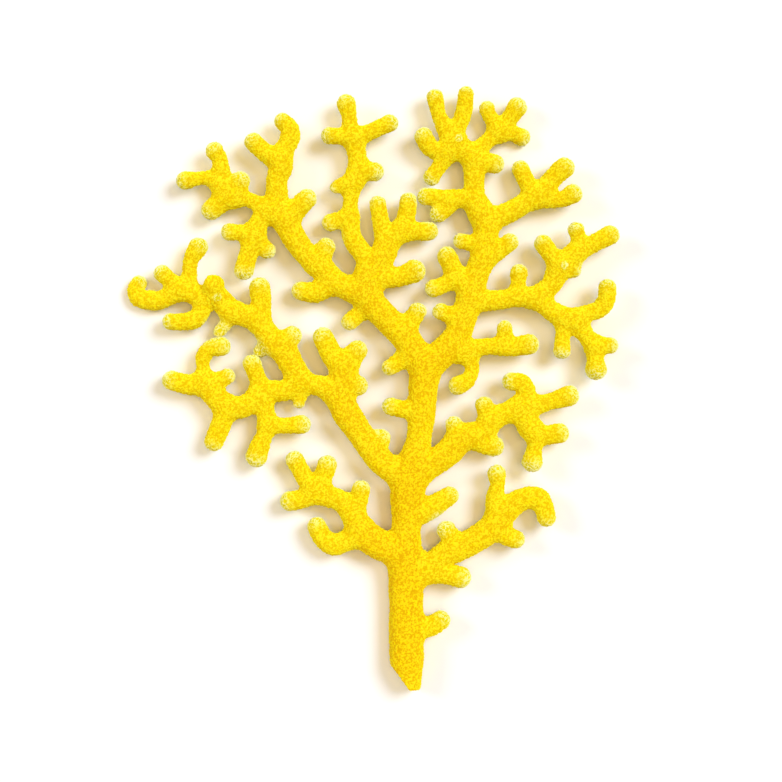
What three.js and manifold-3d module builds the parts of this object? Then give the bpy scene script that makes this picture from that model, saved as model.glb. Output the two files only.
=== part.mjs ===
// A flat, knobbly branching coral, lying on its back and seen from above.
// It is one growth, split at its main forks into a stem and its branches.
// Millimetres, +Z up. X runs across the fan and Y runs from the cut stem to the top twigs.
// The origin is the middle of the whole piece, on the surface that it lies on.

import * as THREE from "three";
import { mergeVertices } from "three/addons/utils/BufferGeometryUtils.js";
import Module from "manifold-3d";

// Driving dimensions
const LIMB_SIDES = 8; // facets around a thick limb
const TWIG_SIDES = 6; // facets around a thin twig
const THICK_RADIUS = 3.7; // a path that reaches this radius counts as a thick limb
const FORK_GAP = 0.3; // clear space between two nodes where a fork is split
const TIP_ANGLES = [48]; // degrees up the round tip, one ring of facets for each
const PLAIN_BEND = 0.65; // a station this near the straight line past it needs no facets
const STEM_END_Y = -90.45; // lowest point of the cut stem
const STEM_CUT = { x: 4.8, y: -81.75, slope: -53.13 }; // the slanted cut where it grew on rock
const CUTTER_SIZE = 400; // a block larger than the coral, used to trim it flat

// The growth plan. Each node holds its twigs by name, and each twig is a path from root to tip.
// A station is [x, y, z, radius]. The last station is the centre of the round tip.
const GROWTH = {
  stem: {
    trunk: [
      [10.8, -90.45, 4.8, 3.7], [10.5, -82, 4.7, 5.1], [10.35, -77, 4.7, 5.25],
      [10.3, -69.5, 4.7, 5.3], [10.2, -63.5, 4.7, 5.1], [10.2, -57.5, 4.9, 5.35],
      [9.9, -51.5, 5.1, 5.4], [10.2, -45.5, 5.3, 4.6], [10.3, -41, 5.5, 4.45],
      [10.6, -36.5, 5.6, 4.8], [10.8, -30.5, 5.8, 5.2], [11.7, -24.5, 5.9, 5.1],
      [13.8, -17, 6, 4], [14.3, -12.5, 6, 3.8], [15, -6.5, 6.1, 4.2],
      [15.3, -0.5, 6.2, 4.35], [15.9, 4, 6.3, 4.6], [16.2, 6.5, 6.3, 4.35],
    ],
    low_spur: [[12.9, -71.9, 5, 3.2], [17.4, -71.5, 5.2, 3.1], [20.5, -69.6, 5.5, 3]],
    middle_spur: [[14.4, -55.4, 5.2, 4], [20.4, -55.2, 5.3, 3.45], [26.4, -56.6, 5.5, 3.2]],
    high_spur: [[15, -37, 5.6, 3.7], [18.6, -35.1, 6, 3.3], [23.1, -32.2, 6.5, 2.85]],
    low_knob: [[12.9, -6.5, 6, 3], [9.3, -6.2, 6.2, 2.7], [5.7, -5.4, 6.5, 2.7]],
  },
  upper_left_limb: {
    limb: [
      [15, 8, 6.3, 4.4], [10.2, 14.9, 6.5, 4.2], [4.8, 20.6, 6.5, 4.05],
      [0.3, 25.4, 6.5, 4.2], [-1.8, 28.4, 6.5, 4.2], [-6, 29.6, 6.4, 3.9],
      [-11, 32.1, 6.3, 3.55], [-14.7, 35.9, 6.3, 3.45], [-20.3, 40.8, 6.2, 3.45],
      [-23.9, 46.1, 6.1, 3.75], [-26.1, 50.6, 6, 3.8],
    ],
    crotch_knob: [[9.9, 9.2, 6.2, 3], [5.4, 6.4, 6.6, 2.4]],
    under_twig: [[-0.3, 24.5, 6, 2.8], [-3, 23, 5.6, 2.5], [-6.6, 20.1, 5.2, 2.55]],
    fork_finger: [[9.6, 17.5, 6.5, 3.2], [12, 20.6, 7, 2.8], [13.5, 23, 7.6, 2.7]],
    shoulder: [[-17.1, 37.2, 6.5, 3.2], [-13.8, 42.2, 7.4, 2.85]],
    back_finger: [[-12, 31.8, 6.2, 3.3], [-16.8, 29, 5.6, 3.15], [-21.3, 29.3, 5.2, 2.7]],
  },
  upper_left_branch: {
    stem: [
      [-26.1, 50.6, 6, 3.6], [-28.2, 53.6, 6, 3.6], [-28.5, 59.6, 6.1, 3.25],
      [-28.4, 63.2, 6.2, 3.2], [-27.3, 66.2, 6.2, 3.6], [-27.9, 69.2, 6.2, 3.3],
    ],
    left_horn: [[-28.2, 68.6, 6.2, 3], [-32.1, 70.8, 6.3, 2.8], [-35.4, 73.8, 6.6, 2.85]],
    hooked_horn: [
      [-27.3, 68.6, 6.2, 3.1], [-26, 71.9, 6.2, 2.85], [-24.6, 75.2, 6.2, 2.95],
      [-24.8, 78.2, 6.4, 2.7], [-26.7, 80, 6.6, 2.55],
    ],
    side_bump: [[-26.1, 51.2, 6, 3.6], [-22.8, 53.6, 6.6, 3.2], [-19.5, 56.6, 7.2, 3]],
    arm: [
      [-29, 53, 6, 3.2], [-34.2, 55.4, 6, 2.4], [-38.1, 56.9, 6, 2.4],
      [-41.7, 57.2, 6, 3.3], [-44.4, 59.3, 6, 3.3],
    ],
    arm_finger: [[-45, 61, 6, 3], [-49.2, 63, 5.8, 2.25], [-51.6, 63, 5.8, 2.1], [-55.8, 62.4, 5.8, 2.85]],
    arm_horn: [[-45, 61.4, 6, 3], [-45.3, 65.6, 6.2, 2.7], [-45.6, 68.6, 6.4, 2.4], [-47, 71.1, 6.8, 2.7]],
    arm_top_bump: [[-41.4, 58.4, 6.2, 2.8], [-39.5, 62.1, 7.2, 2.9]],
    arm_low_bump: [[-43.8, 57.2, 6, 3.2], [-48.3, 53.6, 5.6, 3]],
    drooping_twig: [[-29, 53, 6, 3.2], [-33, 51.2, 6, 2.8], [-34.8, 47.6, 6, 2.85], [-36, 44.6, 6, 2.7]],
    droop_left: [[-35.1, 47, 6, 2.7], [-39, 46.8, 5.8, 2.4], [-42.6, 47, 5.8, 2.55]],
    droop_end: [[-36, 44.6, 6, 2.7], [-37.2, 40.1, 5.8, 2.7], [-38.4, 35.6, 5.8, 3]],
    droop_right: [[-35.1, 45.2, 5.8, 2.5], [-31.5, 41.6, 4.8, 2.55]],
  },
  top_branch: {
    stem: [
      [-1.8, 28.4, 6.5, 4], [-1.5, 32.6, 6.5, 4.1], [-1.5, 38, 6.5, 3.25], [-5.7, 44.6, 6.4, 3],
      [-6.5, 49.1, 6.3, 2.7], [-6.5, 55.1, 6.2, 2.35], [-6, 59.6, 6.2, 2.6],
      [-4.8, 63.2, 6.3, 3], [-4.2, 66.8, 6.3, 2.85], [-4.5, 70.1, 6.3, 2.85],
      [-5.7, 74.6, 6.3, 2.8], [-6.6, 79.1, 6.4, 2.4], [-6.9, 82.1, 6.6, 2.4], [-7.7, 85.1, 6.9, 2.95],
    ],
    left_finger: [[-6, 75.2, 6.3, 2.6], [-9.3, 75.6, 6.3, 2.4], [-12.6, 75.8, 6.5, 2.55]],
    right_finger: [
      [-5.1, 74.6, 6.3, 2.7], [-1.8, 76.4, 6.3, 2.5],
      [1.2, 77.6, 6.4, 2.4], [5.1, 79.4, 6.7, 2.7],
    ],
    right_bump: [[-4.2, 65.6, 6.3, 2.8], [0.6, 65, 6.7, 2.85]],
    left_cone: [[-5.7, 62, 6.3, 2.7], [-9.6, 60.8, 6, 2.25], [-10.8, 60.3, 6, 1.65]],
    left_twig: [[-6.5, 51.4, 6.2, 2.4], [-9.3, 50.9, 6, 2.4], [-12.3, 49.8, 5.8, 2.7]],
  },
  middle_branch: {
    stem: [[-1.2, 33.8, 6.5, 4], [3, 39.8, 6.5, 4], [5.4, 43.7, 6.5, 3.3], [8.7, 47.3, 6.5, 3]],
    left_finger: [[3.9, 44.3, 6.5, 2.9], [2.7, 50, 6.3, 2.6], [1.8, 55.1, 6.2, 2.55]],
    right_finger: [[8.7, 47, 6.5, 2.9], [10.4, 52.4, 6.5, 2.75], [10.8, 56.1, 6.6, 2.55]],
    side_finger: [[9.3, 47, 6.5, 2.8], [12.9, 47.1, 6.3, 2.75], [17, 47.1, 6.2, 2.8]],
    low_finger: [[0.6, 33.2, 6.5, 3.7], [8.4, 33.5, 6.7, 3], [12.6, 35.1, 7, 3.4]],
  },
  right_limb: {
    limb: [
      [15.9, 7, 6.3, 4.5], [19.5, 9.2, 6.4, 4.5], [24.3, 14.3, 6.5, 4.05], [26.9, 19.1, 6.5, 3.9],
      [29, 26.6, 6.6, 3.75], [30.8, 32.6, 6.6, 3.75], [33.2, 39.8, 6.6, 3.6],
      [34.1, 47.3, 6.5, 3.75], [32.4, 53, 6.4, 3.7],
    ],
    inner_knob: [[31.8, 43.2, 6.6, 2.3], [26.7, 44.1, 6.8, 2.4]],
    inner_finger: [[28.5, 30.5, 6.6, 3.3], [25.2, 34.1, 6.8, 3], [22.5, 39.5, 7.2, 3]],
    inner_thumb: [[25.5, 33.2, 6.7, 2.8], [22.2, 31.4, 6.8, 2.55], [18.6, 29.9, 7, 2.7]],
    low_thumb: [[25.8, 21.2, 6.5, 2.8], [20.7, 23, 6.9, 2.55]],
    outer_finger: [[33.3, 38.6, 6.6, 3.2], [36.9, 40.4, 6.8, 2.7], [41.1, 43.7, 7.2, 2.7]],
    low_arm: [
      [25.8, 11.2, 6.4, 3.3], [30.9, 12.1, 6.6, 2.85], [35.4, 12.6, 6.8, 2.6],
      [41.4, 12.4, 7, 2.75], [46.8, 13.1, 7.4, 3.15],
    ],
    low_arm_knob: [[39.7, 13, 6.9, 2.4], [39.7, 18, 7.4, 2.25]],
    crotch_hook: [
      [26.1, 11.6, 6.4, 3.3], [29.1, 8.9, 6.3, 2.7], [30, 5.6, 6.3, 2.1],
      [28.8, 2.6, 6.4, 2.4], [25.8, 0.9, 6.6, 2.85],
    ],
  },
  upper_right_branch: {
    stem: [
      [32.4, 53, 6.4, 3.6], [30.6, 56.6, 6.3, 3.3], [30.6, 59.6, 6.2, 3.15], [30.6, 64.1, 6.1, 3.15],
      [30, 68.6, 6, 3.3], [27, 71.9, 6, 3.3], [24.9, 73.7, 6, 2.9],
    ],
    left_prong: [
      [25.2, 73.1, 6, 2.7], [23.2, 75.2, 6, 2.6], [21, 80, 6, 2.45],
      [19.8, 83, 6, 2.3], [18.9, 87.2, 6.2, 2.55],
    ],
    right_prong: [
      [25.5, 73.7, 6, 2.9], [25.5, 77.6, 6.2, 2.6], [27, 81.2, 6.4, 2.5],
      [27.9, 85.1, 6.6, 2.45], [28.2, 88.05, 6.8, 2.4],
    ],
    hand: [[29.7, 69.8, 6, 3], [33.9, 73.7, 5.2, 2.4], [38.2, 77.4, 4.6, 2.8]],
    hand_left: [[38.1, 77.3, 4.6, 2.5], [35.7, 81.2, 4.9, 2.25], [34.5, 83.9, 5.2, 2.4]],
    hand_top: [[38.7, 77.2, 4.6, 2.7], [40.8, 80.6, 4.8, 2.55], [43.5, 84.3, 5.2, 3]],
    hand_right: [[38.4, 77.3, 4.6, 2.7], [42, 77.1, 2.9, 2.4], [45, 75.9, 2.1, 2.7]],
    left_hook: [[25.2, 72.2, 6, 3], [20.4, 71.3, 6, 2.55], [17.4, 72.2, 6.2, 2.7], [15.6, 75.3, 6.6, 2.85]],
    left_spike: [[23.4, 70.7, 5.9, 2.7], [20.2, 66.5, 5.4, 2.25], [18, 63.5, 5.2, 2.4]],
    right_bump: [[31.2, 68.3, 6, 2.8], [33.9, 68, 6.1, 2.7], [36.6, 67.4, 6.3, 2.85]],
    low_arm: [
      [31.2, 56, 6.3, 2.8], [26.4, 56.9, 6.2, 2.4], [21.9, 57.2, 6.1, 2.4], [16.2, 57.5, 6, 2.55],
    ],
    low_arm_twig: [[24.9, 56.6, 6.1, 2.5], [22.5, 54.2, 5.9, 2.4], [20, 52.4, 5.8, 2.55]],
  },
  right_fork: {
    stem: [
      [34.8, 49.4, 6.5, 3.5], [38.4, 51.5, 6.5, 3.3], [42, 53.3, 6.4, 3.15],
      [47.7, 56.6, 6.2, 3.1], [51.6, 58.8, 6.2, 3.2],
    ],
    left_finger: [[48, 58.5, 6.1, 3], [46.2, 62.3, 5.6, 2.65], [44.6, 65.9, 5.2, 2.55]],
    right_finger: [[51.6, 59, 6.2, 3.1], [54.2, 63, 6.4, 2.85], [57.5, 66, 6.7, 3.1]],
    low_finger: [[49, 56.9, 6.2, 2.9], [53.4, 56.3, 6.2, 2.4], [57, 56.6, 6.4, 2.4], [60, 58.2, 6.8, 3]],
  },
  far_right_branch: {
    stem: [
      [29.4, 26.3, 6.6, 3.5], [33.9, 26.3, 6.6, 3.2], [38.4, 26.6, 6.6, 3], [42.9, 27.2, 6.6, 2.85],
      [47.4, 27, 6.6, 2.9], [50.7, 25.7, 6.6, 3], [54.3, 23, 6.7, 3.15],
      [57.9, 21.2, 6.8, 3.3], [61.2, 20, 6.8, 3.3],
    ],
    top_knob: [[43.5, 28.4, 6.6, 2.6], [43.8, 31.7, 6.8, 2.3], [44, 34.5, 7, 2.7]],
    upper_limb: [
      [48.3, 27.2, 6.6, 3], [53.3, 30.6, 6.6, 3.1], [55.5, 34.7, 6.6, 3.4],
      [57.3, 37.5, 6.6, 3.5], [59.7, 39.6, 6.6, 2.95],
    ],
    upper_left_finger: [[56, 36, 6.6, 3], [54, 39.5, 6.7, 2.7], [51.3, 43.2, 6.9, 2.8]],
    upper_top_finger: [[60.9, 40.5, 6.6, 2.7], [61.7, 44.3, 6.8, 2.35], [61.1, 47.3, 7.2, 2.55]],
    upper_right_finger: [[60.3, 39.8, 6.6, 2.9], [65.4, 42.8, 6.7, 2.75], [71.1, 45.9, 7, 2.95]],
    upper_bump: [[58.2, 36.2, 6.4, 2.7], [60.3, 35.6, 6.2, 2.4]],
    end_hook: [
      [60.9, 21, 6.8, 3], [64.2, 22.4, 6.9, 2.6], [68, 23.7, 7, 2.7],
      [70.1, 26.4, 7.2, 2.7], [70.4, 30, 7.5, 2.7],
    ],
    low_twig: [[57.6, 20.3, 6.8, 2.8], [57.1, 16.1, 6.9, 2.25], [56.9, 11.5, 7.2, 2.55]],
    low_limb: [[61, 19.7, 6.8, 3], [63.9, 16.1, 6.9, 2.7], [66.6, 12.8, 7, 2.7]],
    low_right_knob: [[66.8, 13, 7, 2.6], [71.1, 12.9, 7.2, 2.55]],
    low_end: [[66.7, 12.3, 7, 2.6], [66.8, 9.2, 7.2, 2.45], [67, 5.9, 7.5, 3.25]],
  },
  left_limb: {
    limb: [
      [9.9, -26.9, 5.8, 4.4], [6.3, -24.5, 5.9, 4.1], [1.5, -20.6, 6, 3.95], [-3.3, -13.7, 6, 3.85],
      [-7.5, -7.4, 6.1, 4.3], [-10.2, -2.3, 6.1, 4.15], [-14.1, 0.2, 6.1, 3.45],
      [-18, 1.4, 6.1, 3], [-21.6, 3.2, 6.1, 3.5], [-24.3, 7.4, 6, 3.8],
      [-26.7, 11.6, 6, 3.9], [-30.5, 15.2, 5.9, 3.5], [-34.2, 20.6, 5.8, 3.3],
    ],
    inner_limb: [[-10.2, -1.7, 6.1, 3.9], [-8.7, 3.2, 6.2, 4.2], [-8.4, 6.8, 6.2, 4]],
    inner_left: [
      [-9.3, 6.8, 6.2, 3.5], [-11.7, 9.5, 6.4, 3.3],
      [-13.2, 12.5, 6.6, 3.15], [-14.6, 15.2, 7, 3.1],
    ],
    inner_right: [[-7.8, 6.8, 6.2, 3.4], [-6, 9.5, 6.5, 3.3], [-4.5, 11.3, 6.9, 3.15]],
    inner_stub: [[-8.1, 0.8, 6.1, 3.1], [-4.2, 0.8, 6.3, 2.95]],
    low_spur: [[1, -18.6, 6, 3.1], [2.7, -15, 6.2, 2.85]],
    bump: [[-28.5, 12.8, 6, 3.2], [-24, 15.8, 6.9, 2.9]],
    pale_stub: [[-30, 14, 5.4, 2.4], [-33.8, 11.3, 4.2, 1.95]],
    under_spur: [[-20.4, 1.4, 6, 2.3], [-21.2, -1.4, 5.8, 2.1], [-21.9, -4.1, 5.4, 1.8]],
  },
  left_branch: {
    stem: [
      [-34.2, 20.6, 5.8, 3.2], [-38.1, 21.8, 5.7, 3.3], [-42.6, 23.6, 5.6, 3.6],
      [-46.2, 27.2, 5.5, 3.3], [-50.1, 27.2, 5.4, 3.15], [-54, 28.7, 5.2, 3.1],
      [-57.6, 29.3, 5, 3], [-63.6, 26.7, 3.8, 2.85], [-66.6, 26.6, 2.8, 3.05],
      [-70.2, 27.3, 2.2, 2.85], [-71.3, 29.9, 2.2, 2.65], [-70.5, 31.7, 2.3, 2.5],
    ],
    hook_twig: [[-57.6, 29.9, 5.1, 2.7], [-60.6, 32.4, 5.1, 2.5], [-63, 34.5, 5.2, 2.65]],
    tall_twig: [
      [-55.8, 29.6, 5.2, 2.7], [-54.9, 32.6, 5.3, 2.4], [-54.8, 35.6, 5.4, 2.25],
      [-54.2, 38.9, 5.6, 2.45], [-52.2, 42.2, 6, 3],
    ],
    raised_bump: [[-48, 28.1, 6, 3.2], [-47.1, 30.8, 8.8, 3.15]],
    low_arm: [
      [-50.7, 26.6, 5.4, 2.8], [-51.3, 23, 5.4, 2.7], [-53.7, 20.6, 5.4, 2.85],
      [-57, 20, 5.4, 2.55], [-60.3, 20, 5.6, 2.55],
    ],
    pale_twig: [[-43.2, 22.4, 5.4, 2.2], [-43.8, 19.7, 5, 1.8], [-45.9, 17.3, 4.4, 1.8]],
    top_finger: [[-34.2, 21.2, 5.9, 3.2], [-33.2, 25, 6.2, 3.05], [-33.6, 30, 6.8, 3.25]],
  },
  lower_left_branch: {
    stem: [
      [-21.6, 2.5, 6.1, 3], [-26.1, -0.5, 6, 3.25], [-30.6, -0.8, 5.9, 3.2], [-34.2, -2.3, 5.8, 3.3],
      [-38.1, -5.3, 5.8, 3.3], [-42, -5.6, 5.7, 3.6], [-45.3, -4, 5.6, 3.6],
      [-48.6, -0.4, 5.5, 3.5], [-50.4, 2.9, 5.5, 2.9],
    ],
    top_hook: [
      [-50.4, 2.9, 5.5, 2.7], [-50.7, 6.5, 5.5, 2.1], [-50.7, 9.2, 5.6, 2.4],
      [-48.6, 11.9, 5.9, 2.55], [-45.3, 12.5, 6.4, 2.85],
    ],
    left_finger: [[-50.1, 1.4, 5.5, 3.2], [-55.2, 1.2, 5.4, 3.15], [-60, 2.4, 5.4, 3]],
    small_knob: [[-48, 1.4, 5.6, 2.6], [-43.5, 3.6, 6, 2.4]],
    low_left_finger: [[-43.8, -5.9, 5.6, 3.3], [-45.3, -10.7, 5.4, 3.05], [-47.4, -15.8, 5.4, 3]],
    top_finger: [[-33.6, -1.7, 5.9, 3], [-34.2, 2.6, 6, 2.65], [-36, 7.4, 6.6, 2.75]],
    low_finger: [
      [-32.7, -4.1, 5.8, 3.1], [-31.7, -8.9, 5.8, 2.7], [-32, -13.1, 5.7, 2.45],
      [-33.6, -17, 5.7, 3], [-34.7, -20.3, 5.8, 3.25],
    ],
    right_finger: [[-31.5, -11, 5.8, 2.7], [-26.1, -11.1, 6, 2.45], [-21.3, -10.8, 6.3, 2.85]],
  },
  low_left_fork: {
    stem: [
      [7.5, -49.1, 5.3, 4.6], [4.2, -47.6, 5.4, 4.7], [0, -45.5, 5.5, 4.6], [-3.6, -41.6, 5.6, 4.2],
      [-6, -37.7, 5.7, 3.6], [-9.3, -33.8, 5.8, 3.2], [-13.2, -32.3, 5.8, 3.3], [-16.8, -30.2, 5.8, 3.4],
    ],
    left_finger: [
      [-17.4, -29.9, 5.8, 3], [-20.1, -26.9, 5.8, 2.7],
      [-21.6, -24.2, 5.9, 2.7], [-23.1, -21.5, 6.1, 2.7],
    ],
    right_finger: [[-15.6, -29.9, 5.9, 3.1], [-14.7, -26.9, 6.2, 2.85], [-13.5, -23, 6.6, 3]],
    low_finger: [[-17.4, -31.7, 5.8, 3], [-21, -33.2, 5.6, 2.85], [-24.5, -33.8, 5.4, 2.95]],
    inner_finger: [[-5.4, -37.1, 5.8, 3], [-3.9, -33.5, 6, 2.7], [-3.3, -30.3, 6.4, 2.75]],
    hook: [
      [-3, -43.4, 5.5, 3.9], [-8.1, -45.9, 5.3, 3.25], [-11.7, -46.8, 5.2, 3.3],
      [-14.7, -44.7, 5.2, 3.05], [-16.5, -41.6, 5.4, 2.9],
    ],
  },
  low_right_fork: {
    stem: [
      [12.6, -52, 5.3, 4.2], [17.4, -52.7, 5.4, 3.75], [22.2, -49.7, 5.5, 3.9], [27.6, -47.3, 5.6, 3.9],
      [33, -44, 5.7, 4], [37.2, -40.4, 5.8, 4.1], [40.2, -36.8, 5.9, 3.8],
      [44.4, -33.5, 6, 3.4], [49.2, -32.9, 6, 3.55], [51.3, -35.3, 6.1, 3.15], [52.2, -38.6, 6.4, 2.85],
    ],
    top_finger: [
      [37.2, -37.1, 5.9, 3.1], [36.9, -32.6, 6.1, 2.7],
      [37.7, -28.4, 6.4, 2.3], [37.4, -25.8, 6.7, 2.85],
    ],
    left_knob: [[24.9, -47, 5.7, 3.3], [23.4, -44, 6.2, 2.8], [22.4, -42.6, 6.6, 2.9]],
    low_knob: [[37.8, -41.9, 5.7, 3.2], [40.5, -44.1, 5.6, 2.95], [42.9, -45.2, 5.6, 2.9]],
  },
  middle_right_fork: {
    stem: [
      [13.5, -25.7, 5.9, 4.3], [17.1, -23, 6, 4.2], [22.2, -19.8, 6.1, 4.1], [27, -14.9, 6.2, 4.1],
      [32.4, -13.1, 6.3, 3.7], [36.9, -9, 6.4, 3.3], [40.8, -7, 6.4, 3.25],
      [44.4, -5.9, 6.4, 3.25], [48, -5.3, 6.5, 3], [53.1, -4, 6.6, 2.5],
      [55.8, -3.3, 6.8, 2.85], [58.8, -2.3, 7, 3.2],
    ],
    first_knob: [[26.3, -14.8, 6.2, 2.8], [24.6, -10.8, 6.6, 2.5]],
    second_knob: [[35.4, -9.8, 6.4, 3], [33.6, -5.1, 7, 2.7]],
    top_hook: [[44.4, -5, 6.4, 3.1], [46.2, -1.7, 6.5, 2.9], [44.9, 1.4, 6.7, 2.9], [41.7, 2.1, 7, 2.65]],
    low_knob: [[31.8, -15.5, 6.2, 3.2], [34.2, -17, 6.2, 2.85], [36.5, -17.3, 6.3, 3]],
    low_finger: [
      [43.8, -7.4, 6.4, 3.2], [47.7, -11.3, 6.4, 3.2], [48.9, -15.5, 6.4, 2.6],
      [48.6, -18.5, 6.5, 2.35], [48, -21.8, 6.8, 3.15],
    ],
    right_finger: [[46.8, -11.9, 6.4, 3], [51.3, -14, 6.4, 2.85], [56, -13.5, 6.6, 3]],
  },
};

const UP = new THREE.Vector3(0, 0, 1);
const ACROSS = new THREE.Vector3(1, 0, 0);

const wasm = await Module();
wasm.setup();

// A closed three.js geometry as a manifold solid.
function toSolid(geometry) {
  const bare = geometry.clone();
  bare.deleteAttribute("normal");
  bare.deleteAttribute("uv");
  const merged = mergeVertices(bare, 1e-4);
  const mesh = new wasm.Mesh({
    numProp: 3,
    vertProperties: new Float32Array(merged.attributes.position.array),
    triVerts: new Uint32Array(merged.index.array),
  });
  return new wasm.Manifold(mesh);
}

// A manifold solid back as a flat-shaded three.js geometry.
function toGeometry(solid) {
  const mesh = solid.getMesh();
  const geometry = new THREE.BufferGeometry();
  geometry.setAttribute("position", new THREE.BufferAttribute(mesh.vertProperties, 3));
  geometry.setIndex(new THREE.BufferAttribute(mesh.triVerts, 1));
  geometry.computeVertexNormals();
  return geometry;
}

function join(solids) {
  return solids.reduce((whole, solid) => whole.add(solid));
}

// How far a station stands off the straight line between two others, its radius counted too.
function stationBend(before, station, after) {
  const start = new THREE.Vector4(...before);
  const middle = new THREE.Vector4(...station);
  const along = new THREE.Vector4(...after).sub(start);
  const share = middle.clone().sub(start).dot(along) / along.lengthSq();
  return start.addScaledVector(along, share).sub(middle).length();
}

// The stations where a twig bends or swells between two kept ones, found by halving the run there.
function bentStations(stations, first, last) {
  let widest = 0;
  let turning = first;
  for (let index = first + 1; index < last; index += 1) {
    const bend = stationBend(stations[first], stations[index], stations[last]);
    if (bend > widest) {
      widest = bend;
      turning = index;
    }
  }
  if (widest <= PLAIN_BEND) {
    return [];
  }
  return [
    ...bentStations(stations, first, turning),
    turning,
    ...bentStations(stations, turning, last),
  ];
}

// The rings of one twig: one at each station where it bends or swells, then the round tip's.
function twigRings(stations, extraRadius) {
  const places = stations.map(([x, y, z]) => new THREE.Vector3(x, y, z));
  const curve = new THREE.CatmullRomCurve3(places, false, "centripetal");
  const end = stations.length - 1;
  const rings = [0, ...bentStations(stations, 0, end), end].map((index) => ({
    centre: places[index],
    tangent: curve.getTangent(index / end),
    radius: stations[index][3] + extraRadius,
  }));
  const last = rings[rings.length - 1];
  for (const degrees of [...TIP_ANGLES, 90]) {
    const angle = THREE.MathUtils.degToRad(degrees);
    const reach = last.tangent.clone().multiplyScalar(last.radius * Math.sin(angle));
    rings.push({
      centre: last.centre.clone().add(reach),
      tangent: last.tangent,
      radius: degrees === 90 ? 0 : last.radius * Math.cos(angle),
    });
  }
  return rings;
}

// One twig: a lathe with one profile point for each ring, bent to run along its path.
function twigGeometry(stations, extraRadius = 0) {
  const rings = twigRings(stations, extraRadius);
  const root = { ...rings[0], radius: 0 };
  const profileRings = [root, ...rings];
  const widest = Math.max(...stations.map((station) => station[3]));
  const sides = widest >= THICK_RADIUS ? LIMB_SIDES : TWIG_SIDES;
  const profile = profileRings.map((ring, index) => new THREE.Vector2(ring.radius, index));
  const facetTurn = -Math.PI / 2 + Math.PI / sides; // puts one facet flat underneath
  const geometry = new THREE.LatheGeometry(profile, sides, facetTurn);
  const position = geometry.attributes.position;
  for (let index = 0; index < position.count; index += 1) {
    const ring = profileRings[Math.round(position.getY(index))];
    const sideways = new THREE.Vector3().crossVectors(UP, ring.tangent);
    if (sideways.length() < 0.3) {
      sideways.crossVectors(ACROSS, ring.tangent);
    }
    sideways.normalize();
    const upward = new THREE.Vector3().crossVectors(ring.tangent, sideways);
    const place = ring.centre.clone();
    place.addScaledVector(sideways, position.getZ(index));
    place.addScaledVector(upward, position.getX(index));
    position.setXYZ(index, place.x, place.y, place.z);
  }
  return geometry;
}

function growthSolid(twigs, extraRadius = 0) {
  const solids = Object.values(twigs).map((stations) => toSolid(twigGeometry(stations, extraRadius)));
  return join(solids);
}

// The surface the coral lies on, as a block to trim with.
function floorCutter() {
  const block = new THREE.BoxGeometry(CUTTER_SIZE, CUTTER_SIZE, CUTTER_SIZE);
  block.translate(0, 0, -CUTTER_SIZE / 2);
  return toSolid(block);
}

// The slanted break across the foot of the stem.
function stemCutter() {
  const slanted = new THREE.BoxGeometry(CUTTER_SIZE, CUTTER_SIZE, CUTTER_SIZE);
  slanted.translate(0, -CUTTER_SIZE / 2, 0);
  slanted.rotateZ(THREE.MathUtils.degToRad(STEM_CUT.slope));
  slanted.translate(STEM_CUT.x, STEM_CUT.y, 0);
  const below = new THREE.BoxGeometry(CUTTER_SIZE, CUTTER_SIZE, CUTTER_SIZE);
  below.translate(0, STEM_END_Y - CUTTER_SIZE / 2, 0);
  return toSolid(slanted).add(toSolid(below));
}

function coralMaterial() {
  return new THREE.MeshStandardMaterial({
    color: 0xf6d50a,
    roughness: 0.9,
    metalness: 0,
    flatShading: true,
  });
}

// Each node is its own twigs, less the nodes before it and the gap that splits the fork.
function buildCoral() {
  const coral = new THREE.Group();
  const floor = floorCutter();
  let earlier = null;
  for (const [name, twigs] of Object.entries(GROWTH)) {
    let solid = growthSolid(twigs).subtract(floor);
    if (name === "stem") {
      solid = solid.subtract(stemCutter());
    }
    if (earlier) {
      solid = solid.subtract(earlier);
    }
    const mesh = new THREE.Mesh(toGeometry(solid), coralMaterial());
    mesh.name = name;
    coral.add(mesh);
    const swollen = growthSolid(twigs, FORK_GAP);
    earlier = earlier ? earlier.add(swollen) : swollen;
  }
  return coral;
}

export default buildCoral();
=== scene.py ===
# A flat, knobbly branching coral, lying on its back on a pale floor and seen from above.
# Its skin is one growth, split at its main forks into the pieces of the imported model.
# Shapes are worked out in millimetres and written to the meshes in metres, +Z up.

import functools
import math

import bpy
import numpy as np
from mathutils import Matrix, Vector


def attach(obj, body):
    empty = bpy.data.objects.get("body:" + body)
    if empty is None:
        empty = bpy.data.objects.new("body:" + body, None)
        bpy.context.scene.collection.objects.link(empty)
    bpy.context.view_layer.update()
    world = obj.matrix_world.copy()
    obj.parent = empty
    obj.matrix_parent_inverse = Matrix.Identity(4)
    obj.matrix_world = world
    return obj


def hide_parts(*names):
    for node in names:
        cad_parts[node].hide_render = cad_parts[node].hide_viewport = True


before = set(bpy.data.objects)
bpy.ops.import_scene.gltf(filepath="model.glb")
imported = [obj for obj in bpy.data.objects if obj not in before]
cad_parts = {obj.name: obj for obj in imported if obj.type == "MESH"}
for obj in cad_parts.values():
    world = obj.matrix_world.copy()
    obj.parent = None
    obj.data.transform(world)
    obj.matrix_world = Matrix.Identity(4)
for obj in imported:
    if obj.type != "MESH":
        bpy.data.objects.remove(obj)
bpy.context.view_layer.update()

bl_info = {
    "name": "Branching coral",
    "version": (1, 0, 0),
    "blender": (4, 5, 0),
    "location": "3D View > Sidebar > Coral",
    "description": "Grows a granular branching coral over its packed solids, with floor and lights",
    "category": "Add Mesh",
}

MM = 0.001

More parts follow.
